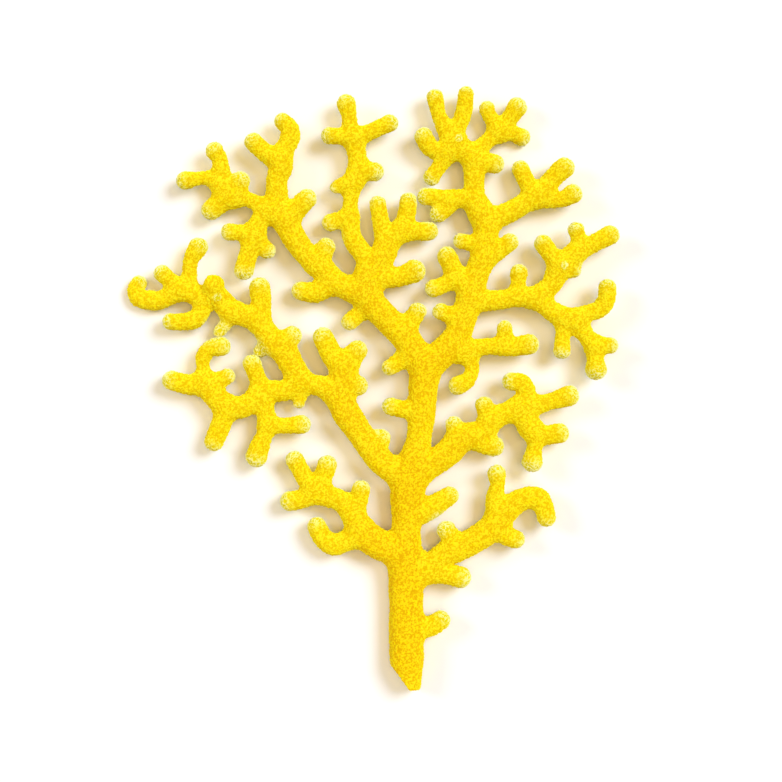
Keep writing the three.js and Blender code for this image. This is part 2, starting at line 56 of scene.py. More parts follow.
# The growth plan. Each piece holds its twigs by name, and each twig is a path from root to tip.
# A station is (x, y, z, radius) in millimetres. The last station is the centre of the round tip.
GROWTH = {
    "stem": {
        "trunk": [
            (10.8, -90.45, 4.8, 3.7), (10.5, -82, 4.7, 5.1), (10.35, -77, 4.7, 5.25),
            (10.3, -69.5, 4.7, 5.3), (10.2, -63.5, 4.7, 5.1), (10.2, -57.5, 4.9, 5.35),
            (9.9, -51.5, 5.1, 5.4), (10.2, -45.5, 5.3, 4.6), (10.3, -41, 5.5, 4.45),
            (10.6, -36.5, 5.6, 4.8), (10.8, -30.5, 5.8, 5.2), (11.7, -24.5, 5.9, 5.1),
            (13.8, -17, 6, 4), (14.3, -12.5, 6, 3.8), (15, -6.5, 6.1, 4.2),
            (15.3, -0.5, 6.2, 4.35), (15.9, 4, 6.3, 4.6), (16.2, 6.5, 6.3, 4.35),
        ],
        "low_spur": [(12.9, -71.9, 5, 3.2), (17.4, -71.5, 5.2, 3.1), (20.5, -69.6, 5.5, 3)],
        "middle_spur": [(14.4, -55.4, 5.2, 4), (20.4, -55.2, 5.3, 3.45), (26.4, -56.6, 5.5, 3.2)],
        "high_spur": [(15, -37, 5.6, 3.7), (18.6, -35.1, 6, 3.3), (23.1, -32.2, 6.5, 2.85)],
        "low_knob": [(12.9, -6.5, 6, 3), (9.3, -6.2, 6.2, 2.7), (5.7, -5.4, 6.5, 2.7)],
    },
    "upper_left_limb": {
        "limb": [
            (15, 8, 6.3, 4.4), (10.2, 14.9, 6.5, 4.2), (4.8, 20.6, 6.5, 4.05),
            (0.3, 25.4, 6.5, 4.2), (-1.8, 28.4, 6.5, 4.2), (-6, 29.6, 6.4, 3.9),
            (-11, 32.1, 6.3, 3.55), (-14.7, 35.9, 6.3, 3.45), (-20.3, 40.8, 6.2, 3.45),
            (-23.9, 46.1, 6.1, 3.75), (-26.1, 50.6, 6, 3.8),
        ],
        "crotch_knob": [(9.9, 9.2, 6.2, 3), (5.4, 6.4, 6.6, 2.4)],
        "under_twig": [(-0.3, 24.5, 6, 2.8), (-3, 23, 5.6, 2.5), (-6.6, 20.1, 5.2, 2.55)],
        "fork_finger": [(9.6, 17.5, 6.5, 3.2), (12, 20.6, 7, 2.8), (13.5, 23, 7.6, 2.7)],
        "shoulder": [(-17.1, 37.2, 6.5, 3.2), (-13.8, 42.2, 7.4, 2.85)],
        "back_finger": [(-12, 31.8, 6.2, 3.3), (-16.8, 29, 5.6, 3.15), (-21.3, 29.3, 5.2, 2.7)],
    },
    "upper_left_branch": {
        "stem": [
            (-26.1, 50.6, 6, 3.6), (-28.2, 53.6, 6, 3.6), (-28.5, 59.6, 6.1, 3.25),
            (-28.4, 63.2, 6.2, 3.2), (-27.3, 66.2, 6.2, 3.6), (-27.9, 69.2, 6.2, 3.3),
        ],
        "left_horn": [(-28.2, 68.6, 6.2, 3), (-32.1, 70.8, 6.3, 2.8), (-35.4, 73.8, 6.6, 2.85)],
        "hooked_horn": [
            (-27.3, 68.6, 6.2, 3.1), (-26, 71.9, 6.2, 2.85), (-24.6, 75.2, 6.2, 2.95),
            (-24.8, 78.2, 6.4, 2.7), (-26.7, 80, 6.6, 2.55),
        ],
        "side_bump": [(-26.1, 51.2, 6, 3.6), (-22.8, 53.6, 6.6, 3.2), (-19.5, 56.6, 7.2, 3)],
        "arm": [
            (-29, 53, 6, 3.2), (-34.2, 55.4, 6, 2.4), (-38.1, 56.9, 6, 2.4),
            (-41.7, 57.2, 6, 3.3), (-44.4, 59.3, 6, 3.3),
        ],
        "arm_finger": [
            (-45, 61, 6, 3), (-49.2, 63, 5.8, 2.25),
            (-51.6, 63, 5.8, 2.1), (-55.8, 62.4, 5.8, 2.85),
        ],
        "arm_horn": [
            (-45, 61.4, 6, 3), (-45.3, 65.6, 6.2, 2.7),
            (-45.6, 68.6, 6.4, 2.4), (-47, 71.1, 6.8, 2.7),
        ],
        "arm_top_bump": [(-41.4, 58.4, 6.2, 2.8), (-39.5, 62.1, 7.2, 2.9)],
        "arm_low_bump": [(-43.8, 57.2, 6, 3.2), (-48.3, 53.6, 5.6, 3)],
        "drooping_twig": [
            (-29, 53, 6, 3.2), (-33, 51.2, 6, 2.8),
            (-34.8, 47.6, 6, 2.85), (-36, 44.6, 6, 2.7),
        ],
        "droop_left": [(-35.1, 47, 6, 2.7), (-39, 46.8, 5.8, 2.4), (-42.6, 47, 5.8, 2.55)],
        "droop_end": [(-36, 44.6, 6, 2.7), (-37.2, 40.1, 5.8, 2.7), (-38.4, 35.6, 5.8, 3)],
        "droop_right": [(-35.1, 45.2, 5.8, 2.5), (-31.5, 41.6, 4.8, 2.55)],
    },
    "top_branch": {
        "stem": [
            (-1.8, 28.4, 6.5, 4), (-1.5, 32.6, 6.5, 4.1), (-1.5, 38, 6.5, 3.25), (-5.7, 44.6, 6.4, 3),
            (-6.5, 49.1, 6.3, 2.7), (-6.5, 55.1, 6.2, 2.35), (-6, 59.6, 6.2, 2.6),
            (-4.8, 63.2, 6.3, 3), (-4.2, 66.8, 6.3, 2.85), (-4.5, 70.1, 6.3, 2.85),
            (-5.7, 74.6, 6.3, 2.8), (-6.6, 79.1, 6.4, 2.4),
            (-6.9, 82.1, 6.6, 2.4), (-7.7, 85.1, 6.9, 2.95),
        ],
        "left_finger": [(-6, 75.2, 6.3, 2.6), (-9.3, 75.6, 6.3, 2.4), (-12.6, 75.8, 6.5, 2.55)],
        "right_finger": [
            (-5.1, 74.6, 6.3, 2.7), (-1.8, 76.4, 6.3, 2.5),
            (1.2, 77.6, 6.4, 2.4), (5.1, 79.4, 6.7, 2.7),
        ],
        "right_bump": [(-4.2, 65.6, 6.3, 2.8), (0.6, 65, 6.7, 2.85)],
        "left_cone": [(-5.7, 62, 6.3, 2.7), (-9.6, 60.8, 6, 2.25), (-10.8, 60.3, 6, 1.65)],
        "left_twig": [(-6.5, 51.4, 6.2, 2.4), (-9.3, 50.9, 6, 2.4), (-12.3, 49.8, 5.8, 2.7)],
    },
    "middle_branch": {
        "stem": [(-1.2, 33.8, 6.5, 4), (3, 39.8, 6.5, 4), (5.4, 43.7, 6.5, 3.3), (8.7, 47.3, 6.5, 3)],
        "left_finger": [(3.9, 44.3, 6.5, 2.9), (2.7, 50, 6.3, 2.6), (1.8, 55.1, 6.2, 2.55)],
        "right_finger": [(8.7, 47, 6.5, 2.9), (10.4, 52.4, 6.5, 2.75), (10.8, 56.1, 6.6, 2.55)],
        "side_finger": [(9.3, 47, 6.5, 2.8), (12.9, 47.1, 6.3, 2.75), (17, 47.1, 6.2, 2.8)],
        "low_finger": [(0.6, 33.2, 6.5, 3.7), (8.4, 33.5, 6.7, 3), (12.6, 35.1, 7, 3.4)],
    },
    "right_limb": {
        "limb": [
            (15.9, 7, 6.3, 4.5), (19.5, 9.2, 6.4, 4.5), (24.3, 14.3, 6.5, 4.05), (26.9, 19.1, 6.5, 3.9),
            (29, 26.6, 6.6, 3.75), (30.8, 32.6, 6.6, 3.75), (33.2, 39.8, 6.6, 3.6),
            (34.1, 47.3, 6.5, 3.75), (32.4, 53, 6.4, 3.7),
        ],
        "inner_knob": [(31.8, 43.2, 6.6, 2.3), (26.7, 44.1, 6.8, 2.4)],
        "inner_finger": [(28.5, 30.5, 6.6, 3.3), (25.2, 34.1, 6.8, 3), (22.5, 39.5, 7.2, 3)],
        "inner_thumb": [(25.5, 33.2, 6.7, 2.8), (22.2, 31.4, 6.8, 2.55), (18.6, 29.9, 7, 2.7)],
        "low_thumb": [(25.8, 21.2, 6.5, 2.8), (20.7, 23, 6.9, 2.55)],
        "outer_finger": [(33.3, 38.6, 6.6, 3.2), (36.9, 40.4, 6.8, 2.7), (41.1, 43.7, 7.2, 2.7)],
        "low_arm": [
            (25.8, 11.2, 6.4, 3.3), (30.9, 12.1, 6.6, 2.85), (35.4, 12.6, 6.8, 2.6),
            (41.4, 12.4, 7, 2.75), (46.8, 13.1, 7.4, 3.15),
        ],
        "low_arm_knob": [(39.7, 13, 6.9, 2.4), (39.7, 18, 7.4, 2.25)],
        "crotch_hook": [
            (26.1, 11.6, 6.4, 3.3), (29.1, 8.9, 6.3, 2.7), (30, 5.6, 6.3, 2.1),
            (28.8, 2.6, 6.4, 2.4), (25.8, 0.9, 6.6, 2.85),
        ],
    },
    "upper_right_branch": {
        "stem": [
            (32.4, 53, 6.4, 3.6), (30.6, 56.6, 6.3, 3.3),
            (30.6, 59.6, 6.2, 3.15), (30.6, 64.1, 6.1, 3.15),
            (30, 68.6, 6, 3.3), (27, 71.9, 6, 3.3), (24.9, 73.7, 6, 2.9),
        ],
        "left_prong": [
            (25.2, 73.1, 6, 2.7), (23.2, 75.2, 6, 2.6), (21, 80, 6, 2.45),
            (19.8, 83, 6, 2.3), (18.9, 87.2, 6.2, 2.55),
        ],
        "right_prong": [
            (25.5, 73.7, 6, 2.9), (25.5, 77.6, 6.2, 2.6), (27, 81.2, 6.4, 2.5),
            (27.9, 85.1, 6.6, 2.45), (28.2, 88.05, 6.8, 2.4),
        ],
        "hand": [(29.7, 69.8, 6, 3), (33.9, 73.7, 5.2, 2.4), (38.2, 77.4, 4.6, 2.8)],
        "hand_left": [(38.1, 77.3, 4.6, 2.5), (35.7, 81.2, 4.9, 2.25), (34.5, 83.9, 5.2, 2.4)],
        "hand_top": [(38.7, 77.2, 4.6, 2.7), (40.8, 80.6, 4.8, 2.55), (43.5, 84.3, 5.2, 3)],
        "hand_right": [(38.4, 77.3, 4.6, 2.7), (42, 77.1, 2.9, 2.4), (45, 75.9, 2.1, 2.7)],
        "left_hook": [
            (25.2, 72.2, 6, 3), (20.4, 71.3, 6, 2.55),
            (17.4, 72.2, 6.2, 2.7), (15.6, 75.3, 6.6, 2.85),
        ],
        "left_spike": [(23.4, 70.7, 5.9, 2.7), (20.2, 66.5, 5.4, 2.25), (18, 63.5, 5.2, 2.4)],
        "right_bump": [(31.2, 68.3, 6, 2.8), (33.9, 68, 6.1, 2.7), (36.6, 67.4, 6.3, 2.85)],
        "low_arm": [
            (31.2, 56, 6.3, 2.8), (26.4, 56.9, 6.2, 2.4), (21.9, 57.2, 6.1, 2.4), (16.2, 57.5, 6, 2.55),
        ],
        "low_arm_twig": [(24.9, 56.6, 6.1, 2.5), (22.5, 54.2, 5.9, 2.4), (20, 52.4, 5.8, 2.55)],
        "bud": [(25.8, 74.6, 7.4, 1), (25.8, 74.6, 8.7, 0.9)],
    },
    "right_fork": {
        "stem": [
            (34.8, 49.4, 6.5, 3.5), (38.4, 51.5, 6.5, 3.3), (42, 53.3, 6.4, 3.15),
            (47.7, 56.6, 6.2, 3.1), (51.6, 58.8, 6.2, 3.2),
        ],
        "left_finger": [(48, 58.5, 6.1, 3), (46.2, 62.3, 5.6, 2.65), (44.6, 65.9, 5.2, 2.55)],
        "right_finger": [(51.6, 59, 6.2, 3.1), (54.2, 63, 6.4, 2.85), (57.5, 66, 6.7, 3.1)],
        "low_finger": [
            (49, 56.9, 6.2, 2.9), (53.4, 56.3, 6.2, 2.4),
            (57, 56.6, 6.4, 2.4), (60, 58.2, 6.8, 3),
        ],
    },
    "far_right_branch": {
        "stem": [
            (29.4, 26.3, 6.6, 3.5), (33.9, 26.3, 6.6, 3.2),
            (38.4, 26.6, 6.6, 3), (42.9, 27.2, 6.6, 2.85),
            (47.4, 27, 6.6, 2.9), (50.7, 25.7, 6.6, 3), (54.3, 23, 6.7, 3.15),
            (57.9, 21.2, 6.8, 3.3), (61.2, 20, 6.8, 3.3),
        ],
        "top_knob": [(43.5, 28.4, 6.6, 2.6), (43.8, 31.7, 6.8, 2.3), (44, 34.5, 7, 2.7)],
        "upper_limb": [
            (48.3, 27.2, 6.6, 3), (53.3, 30.6, 6.6, 3.1), (55.5, 34.7, 6.6, 3.4),
            (57.3, 37.5, 6.6, 3.5), (59.7, 39.6, 6.6, 2.95),
        ],
        "upper_left_finger": [(56, 36, 6.6, 3), (54, 39.5, 6.7, 2.7), (51.3, 43.2, 6.9, 2.8)],
        "upper_top_finger": [(60.9, 40.5, 6.6, 2.7), (61.7, 44.3, 6.8, 2.35), (61.1, 47.3, 7.2, 2.55)],
        "upper_right_finger": [(60.3, 39.8, 6.6, 2.9), (65.4, 42.8, 6.7, 2.75), (71.1, 45.9, 7, 2.95)],
        "upper_bump": [(58.2, 36.2, 6.4, 2.7), (60.3, 35.6, 6.2, 2.4)],
        "end_hook": [
            (60.9, 21, 6.8, 3), (64.2, 22.4, 6.9, 2.6), (68, 23.7, 7, 2.7),
            (70.1, 26.4, 7.2, 2.7), (70.4, 30, 7.5, 2.7),
        ],
        "low_twig": [(57.6, 20.3, 6.8, 2.8), (57.1, 16.1, 6.9, 2.25), (56.9, 11.5, 7.2, 2.55)],
        "low_limb": [(61, 19.7, 6.8, 3), (63.9, 16.1, 6.9, 2.7), (66.6, 12.8, 7, 2.7)],
        "low_right_knob": [(66.8, 13, 7, 2.6), (71.1, 12.9, 7.2, 2.55)],
        "low_end": [(66.7, 12.3, 7, 2.6), (66.8, 9.2, 7.2, 2.45), (67, 5.9, 7.5, 3.25)],
        "bud": [(57.3, 36.5, 8.6, 1), (57.3, 36.5, 10, 0.9)],
    },
    "left_limb": {
        "limb": [
            (9.9, -26.9, 5.8, 4.4), (6.3, -24.5, 5.9, 4.1),
            (1.5, -20.6, 6, 3.95), (-3.3, -13.7, 6, 3.85),
            (-7.5, -7.4, 6.1, 4.3), (-10.2, -2.3, 6.1, 4.15), (-14.1, 0.2, 6.1, 3.45),
            (-18, 1.4, 6.1, 3), (-21.6, 3.2, 6.1, 3.5), (-24.3, 7.4, 6, 3.8),
            (-26.7, 11.6, 6, 3.9), (-30.5, 15.2, 5.9, 3.5), (-34.2, 20.6, 5.8, 3.3),
        ],
        "inner_limb": [(-10.2, -1.7, 6.1, 3.9), (-8.7, 3.2, 6.2, 4.2), (-8.4, 6.8, 6.2, 4)],
        "inner_left": [
            (-9.3, 6.8, 6.2, 3.5), (-11.7, 9.5, 6.4, 3.3),
            (-13.2, 12.5, 6.6, 3.15), (-14.6, 15.2, 7, 3.1),
        ],
        "inner_right": [(-7.8, 6.8, 6.2, 3.4), (-6, 9.5, 6.5, 3.3), (-4.5, 11.3, 6.9, 3.15)],
        "inner_stub": [(-8.1, 0.8, 6.1, 3.1), (-4.2, 0.8, 6.3, 2.95)],
        "low_spur": [(1, -18.6, 6, 3.1), (2.7, -15, 6.2, 2.85)],
        "bump": [(-28.5, 12.8, 6, 3.2), (-24, 15.8, 6.9, 2.9)],
        "pale_stub": [(-30, 14, 5.4, 2.4), (-33.8, 11.3, 4.2, 1.95)],
        "under_spur": [(-20.4, 1.4, 6, 2.3), (-21.2, -1.4, 5.8, 2.1), (-21.9, -4.1, 5.4, 1.8)],
    },
    "left_branch": {
        "stem": [
            (-34.2, 20.6, 5.8, 3.2), (-38.1, 21.8, 5.7, 3.3), (-42.6, 23.6, 5.6, 3.6),
            (-46.2, 27.2, 5.5, 3.3), (-50.1, 27.2, 5.4, 3.15), (-54, 28.7, 5.2, 3.1),
            (-57.6, 29.3, 5, 3), (-63.6, 26.7, 3.8, 2.85), (-66.6, 26.6, 2.8, 3.05),
            (-70.2, 27.3, 2.2, 2.85), (-71.3, 29.9, 2.2, 2.65), (-70.5, 31.7, 2.3, 2.5),
        ],
        "hook_twig": [(-57.6, 29.9, 5.1, 2.7), (-60.6, 32.4, 5.1, 2.5), (-63, 34.5, 5.2, 2.65)],
        "tall_twig": [
            (-55.8, 29.6, 5.2, 2.7), (-54.9, 32.6, 5.3, 2.4), (-54.8, 35.6, 5.4, 2.25),
            (-54.2, 38.9, 5.6, 2.45), (-52.2, 42.2, 6, 3),
        ],
        "raised_bump": [(-48, 28.1, 6, 3.2), (-47.1, 30.8, 8.8, 3.15)],
        "low_arm": [
            (-50.7, 26.6, 5.4, 2.8), (-51.3, 23, 5.4, 2.7), (-53.7, 20.6, 5.4, 2.85),
            (-57, 20, 5.4, 2.55), (-60.3, 20, 5.6, 2.55),
        ],
        "pale_twig": [(-43.2, 22.4, 5.4, 2.2), (-43.8, 19.7, 5, 1.8), (-45.9, 17.3, 4.4, 1.8)],
        "top_finger": [(-34.2, 21.2, 5.9, 3.2), (-33.2, 25, 6.2, 3.05), (-33.6, 30, 6.8, 3.25)],
        "bud": [(-46.2, 27.2, 7.6, 1), (-46.2, 27.2, 8.7, 0.9)],
    },
    "lower_left_branch": {
        "stem": [
            (-21.6, 2.5, 6.1, 3), (-26.1, -0.5, 6, 3.25),
            (-30.6, -0.8, 5.9, 3.2), (-34.2, -2.3, 5.8, 3.3),
            (-38.1, -5.3, 5.8, 3.3), (-42, -5.6, 5.7, 3.6), (-45.3, -4, 5.6, 3.6),
            (-48.6, -0.4, 5.5, 3.5), (-50.4, 2.9, 5.5, 2.9),
        ],
        "top_hook": [
            (-50.4, 2.9, 5.5, 2.7), (-50.7, 6.5, 5.5, 2.1), (-50.7, 9.2, 5.6, 2.4),
            (-48.6, 11.9, 5.9, 2.55), (-45.3, 12.5, 6.4, 2.85),
        ],
        "left_finger": [(-50.1, 1.4, 5.5, 3.2), (-55.2, 1.2, 5.4, 3.15), (-60, 2.4, 5.4, 3)],
        "small_knob": [(-48, 1.4, 5.6, 2.6), (-43.5, 3.6, 6, 2.4)],
        "low_left_finger": [(-43.8, -5.9, 5.6, 3.3), (-45.3, -10.7, 5.4, 3.05), (-47.4, -15.8, 5.4, 3)],
        "top_finger": [(-33.6, -1.7, 5.9, 3), (-34.2, 2.6, 6, 2.65), (-36, 7.4, 6.6, 2.75)],
        "low_finger": [
            (-32.7, -4.1, 5.8, 3.1), (-31.7, -8.9, 5.8, 2.7), (-32, -13.1, 5.7, 2.45),
            (-33.6, -17, 5.7, 3), (-34.7, -20.3, 5.8, 3.25),
        ],
        "right_finger": [(-31.5, -11, 5.8, 2.7), (-26.1, -11.1, 6, 2.45), (-21.3, -10.8, 6.3, 2.85)],
    },
    "low_left_fork": {
        "stem": [
            (7.5, -49.1, 5.3, 4.6), (4.2, -47.6, 5.4, 4.7),
            (0, -45.5, 5.5, 4.6), (-3.6, -41.6, 5.6, 4.2),
            (-6, -37.7, 5.7, 3.6), (-9.3, -33.8, 5.8, 3.2),
            (-13.2, -32.3, 5.8, 3.3), (-16.8, -30.2, 5.8, 3.4),
        ],
        "left_finger": [
            (-17.4, -29.9, 5.8, 3), (-20.1, -26.9, 5.8, 2.7),
            (-21.6, -24.2, 5.9, 2.7), (-23.1, -21.5, 6.1, 2.7),
        ],
        "right_finger": [(-15.6, -29.9, 5.9, 3.1), (-14.7, -26.9, 6.2, 2.85), (-13.5, -23, 6.6, 3)],
        "low_finger": [(-17.4, -31.7, 5.8, 3), (-21, -33.2, 5.6, 2.85), (-24.5, -33.8, 5.4, 2.95)],
        "inner_finger": [(-5.4, -37.1, 5.8, 3), (-3.9, -33.5, 6, 2.7), (-3.3, -30.3, 6.4, 2.75)],
        "hook": [
            (-3, -43.4, 5.5, 3.9), (-8.1, -45.9, 5.3, 3.25), (-11.7, -46.8, 5.2, 3.3),
            (-14.7, -44.7, 5.2, 3.05), (-16.5, -41.6, 5.4, 2.9),
        ],
    },
    "low_right_fork": {
        "stem": [
            (12.6, -52, 5.3, 4.2), (17.4, -52.7, 5.4, 3.75),
            (22.2, -49.7, 5.5, 3.9), (27.6, -47.3, 5.6, 3.9),
            (33, -44, 5.7, 4), (37.2, -40.4, 5.8, 4.1), (40.2, -36.8, 5.9, 3.8),
            (44.4, -33.5, 6, 3.4), (49.2, -32.9, 6, 3.55),
            (51.3, -35.3, 6.1, 3.15), (52.2, -38.6, 6.4, 2.85),
        ],
        "top_finger": [
            (37.2, -37.1, 5.9, 3.1), (36.9, -32.6, 6.1, 2.7),
            (37.7, -28.4, 6.4, 2.3), (37.4, -25.8, 6.7, 2.85),
        ],
        "left_knob": [(24.9, -47, 5.7, 3.3), (23.4, -44, 6.2, 2.8), (22.4, -42.6, 6.6, 2.9)],
        "low_knob": [(37.8, -41.9, 5.7, 3.2), (40.5, -44.1, 5.6, 2.95), (42.9, -45.2, 5.6, 2.9)],
    },
    "middle_right_fork": {
        "stem": [
            (13.5, -25.7, 5.9, 4.3), (17.1, -23, 6, 4.2),
            (22.2, -19.8, 6.1, 4.1), (27, -14.9, 6.2, 4.1),
            (32.4, -13.1, 6.3, 3.7), (36.9, -9, 6.4, 3.3), (40.8, -7, 6.4, 3.25),
            (44.4, -5.9, 6.4, 3.25), (48, -5.3, 6.5, 3), (53.1, -4, 6.6, 2.5),
            (55.8, -3.3, 6.8, 2.85), (58.8, -2.3, 7, 3.2),
        ],
        "first_knob": [(26.3, -14.8, 6.2, 2.8), (24.6, -10.8, 6.6, 2.5)],
        "second_knob": [(35.4, -9.8, 6.4, 3), (33.6, -5.1, 7, 2.7)],
        "top_hook": [
            (44.4, -5, 6.4, 3.1), (46.2, -1.7, 6.5, 2.9),
            (44.9, 1.4, 6.7, 2.9), (41.7, 2.1, 7, 2.65),
        ],
        "low_knob": [(31.8, -15.5, 6.2, 3.2), (34.2, -17, 6.2, 2.85), (36.5, -17.3, 6.3, 3)],
        "low_finger": [
            (43.8, -7.4, 6.4, 3.2), (47.7, -11.3, 6.4, 3.2), (48.9, -15.5, 6.4, 2.6),
            (48.6, -18.5, 6.5, 2.35), (48, -21.8, 6.8, 3.15),
        ],
        "right_finger": [(46.8, -11.9, 6.4, 3), (51.3, -14, 6.4, 2.85), (56, -13.5, 6.6, 3)],
    },
}

# Limits of the growth, in millimetres where nothing else is said
STEM_END_Y = -90.45  # lowest point of the cut stem
STEM_CUT_PLACE = (4.8, -81.75)  # a point on the slanted cut across the stem's foot
STEM_CUT_FACING = (0.8, 0.6)  # from that cut towards the rest of the coral
STEM_CUT_TOP_Y = -68.0  # the cuts act below this line only
PATH_STEP = 1.2  # length of the short steps that a path is walked in
FAR_AWAY = 5.0  # distance given to places with no coral near them
NEAR_SKIN = 2.6  # distances are worked out this far out from a twig
FORK_REACH = (6.5, 11.0)  # a fork is rounded in full this near the twig's root, and not past that
LEAST_REACH = 0.001  # the least that a difference of two distances is divided by
LEAST_DIVISOR = 1e-9  # the least that anything else is divided by
GROUND_MARGIN = 0.9  # space below the floor and beyond the box in the lattice of distances
BURIED_TIP = 0.35  # a tip this share of its radius deep in another twig isn't a free one
TIP_FADE = (0.5, 2.1)  # a tip is palest this near its end, and not pale past that, in radii
PALE_TWIGS = ("pale_twig", "pale_stub")  # these are young and pale over their whole length
PALE_TWIG_FADE = (1.8, 4.5)  # the same two lengths for these
DULL_TWIGS = ("raised_bump",)  # these have a free tip that is no paler than the rest
PALENESS = (0.6, 1.0)  # the least and the most pale tips
TIP_LOT = 7.3  # the place of a tip times this, less all whole ones, is its lot from 0 to 1
YOUNG_GIRTH = 3.0  # twigs up to this radius have the young colour
OLD_GIRTH = 5.2  # limbs from this radius on have the old trunk's colour

# Relief of the skin. Widths are in pitches, heights and depths are shares of the whole relief.
MIDDLE_HEIGHT = 0.5  # the height that lies on the twig's own radius
CRUMB_SHAKE = 0.45  # how far points are shaken out of place
SHAKE_WIDTH = 0.8  # width of the waves that shake them
CRUMB_WIDTH = 0.8  # a crumb's dome ends this far from its seed
DOME_PART = 0.4  # how much of a crumb's height is its dome, the rest being the creases' flanks
CREASE_WIDTH = 0.4  # a crease's flank is this wide
LEAST_CRUMB = 0.45  # height of the lowest crumbs
PORE_PITCH = 1.05  # distance from one pore to the next at a young tip, in millimetres
PORE_EDGE = (0.05, 0.19)  # from the top of a rim to the bottom of a pore
LEAST_PORE = 0.75  # depth of the shallowest pores
CRUMBS_TO_PORES = (0.2, 0.7)  # how young the skin is where pores begin and where crumbs end
FAR_SEED = 9.0  # further than the nearest seed can be
LUMPS = ((5.5, 1.0, 3), (2.6, 0.5, 7))  # width in millimetres, height, and number of the draw
SHAKE_DRAWS = (41, 43, 47)  # each number starts its own random draw, the same on every run
CRUMB_DRAW = 11
PORE_DRAW = 23

# Finish
SKELETON = "coral_skeleton"
CREASE_SHADE_TO_TOP = (0.92, 1.37)  # relief and crumb together, from a crease's bottom in painted shade to a bright top
CRUMB_SHARE = 1.7  # how much the finest crumb adds to the relief where the colour, with its painted shade, is concerned
FLECKS_PER_METRE = 800.0  # warmer flecks of the skeleton
SHADED_PITS_PER_METRE = 760.0  # painted shade of small pits between the grains, dark spots with no hole made for them
SHADED_PIT_EDGE = (0.12, 0.27)  # how far a pit's middle and its edge are from a seed
FLECK_EDGE = (0.5, 0.68)  # where a fleck begins and is full, in the height of its cloud
RIM_EDGE = (0.2, 0.8)  # from the pore colour, darkened by painted shade, to the pale one of a rim, in the relief
CRUMBS_PER_METRE = 2000.0  # the finest crumb, which the colour and the bump show
CRUMB_STRENGTH = 0.5  # of the finest crumb in the bump
CRUMB_DEPTH = 0.00012  # its depth there, in metres
CORAL_GLOSS = (0.75, 0.05)  # roughness and specular level
FLOOR_GLOSS = (0.9, 0.1)

# Stage, in metres and degrees
FLOOR_SIZE = 6.0
LIGHTS = {  # side, height, softness and colour
    "key": (31.0, 51.0, 26.0, (0.72, 0.82, 1.0)),
    "side": (158.0, 38.0, 20.0, (0.85, 0.93, 1.0)),
    "top": (35.0, 88.0, 35.0, (1.0, 0.70, 0.32)),
}
SKY_COLOUR = (0.97, 0.99, 1.0)
LENS = 85.0  # millimetres, as is the sensor
SENSOR = 36.0
VIEW_PIXELS = 782  # width of the photograph
PIXEL = 0.0003  # width that one of its pixels shows
VIEW_CENTRE = (0.0057, -0.00075)  # the photograph's middle
VIEW_LEVEL = 0.006  # height at which a pixel shows that width: the fan's middle


# Sizes and colours that a user would change
def length_setting(name, description, default, least=0.0):
    return bpy.props.FloatProperty(
        name=name, description=description, default=default, min=least, unit="LENGTH", precision=5,
    )


def colour_setting(name, description, default):
    return bpy.props.FloatVectorProperty(
        name=name, description=description, default=default, subtype="COLOR", min=0.0, max=1.0,
    )


def strength_setting(name, description, default):
    return bpy.props.FloatProperty(name=name, description=description, default=default, min=0.0)


class CoralShape(bpy.types.PropertyGroup):
    fineness: length_setting("Fineness", "Distance between the points of the skin", 0.00029, 0.0002)
    fork_rounding: length_setting(
        "Fork rounding", "How near to each other two skins start to flow together", 0.0019,
    )
    grain_pitch: length_setting(
        "Grain pitch", "Distance from one grain of the skeleton to the next", 0.00086, 0.0005,
    )
    grain_depth: length_setting(
        "Grain depth", "From the grains' tops to the bottoms of the creases", 0.00036,
    )
    lump_height: length_setting("Lump height", "How far the wide, soft unevenness stands out", 0.00014)


class CoralColours(bpy.types.PropertyGroup):
    grain: colour_setting("Grain", "Tops of the grains on the twigs", (0.94, 0.85, 0.014))
    warm_grain: colour_setting("Warm grain", "Warmer flecks of the twigs", (0.94, 0.80, 0.003))
    # Painted shade: the darker crease colour stands in for the shade that falls in creases and pits.
    crease: colour_setting("Crease", "Creases and pits between the grains", (0.83, 0.59, 0.0))
    trunk_grain: colour_setting("Trunk grain", "Tops of the old trunk's grains", (0.93, 0.76, 0.006))
    # Painted shade: the same for the old trunk's creases and pits.
    trunk_crease_shade: colour_setting("Trunk crease", "The old trunk's creases and pits", (0.80, 0.495, 0.0))
    tip_rim: colour_setting("Tip rim", "Rims between the pores at a tip", (0.94, 0.93, 0.37))
    # Partly the tip's own colour, partly painted shade that darkens the pores against the rims.
    shaded_tip_pore: colour_setting("Tip pore", "Pores at a tip", (0.79, 0.72, 0.004))


class CoralStudio(bpy.types.PropertyGroup):
    floor: colour_setting("Floor", "The plain pale floor", (0.96, 0.96, 0.96))
    key_strength: strength_setting("Key strength", "Soft, cool light from the upper right", 2.21)
    side_strength: strength_setting("Side strength", "Weaker light from the upper left", 0.85)
    top_strength: strength_setting("Top strength", "Wide, warm light from overhead", 1.16)
    sky_strength: strength_setting("Sky strength", "Even light from all round", 0.27)


# Growth: paths and distances
def smooth_share(value, low, high):
    """The smooth step from 0 at low to 1 at high: 3 t squared less 2 t cubed, t the share between."""
    share = np.clip((value - low) / (high - low), 0.0, 1.0)
    return share * share * (3.0 - 2.0 * share)


def walked_path(stations):
    """A twig's path in short steps, radius included. Between two stations it is the cubic that
    passes through both, its slope at each being half the way between that station's neighbours."""
    corners = np.array([stations[0], *stations, stations[-1]], float)
    walked = []
    for before, start, end, after in zip(corners, corners[1:], corners[2:], corners[3:]):
        count = max(1, math.ceil(np.linalg.norm((end - start)[:3]) / PATH_STEP))
        share = np.linspace(0.0, 1.0, count, endpoint=False)[:, None]
        leave = (end - before) / 2
        arrive = (after - start) / 2
        walked.append(
            start + share * leave
            + share**2 * (3 * (end - start) - 2 * leave - arrive)
            + share**3 * (2 * (start - end) + leave + arrive)
        )
    return np.vstack([*walked, corners[-1:]])


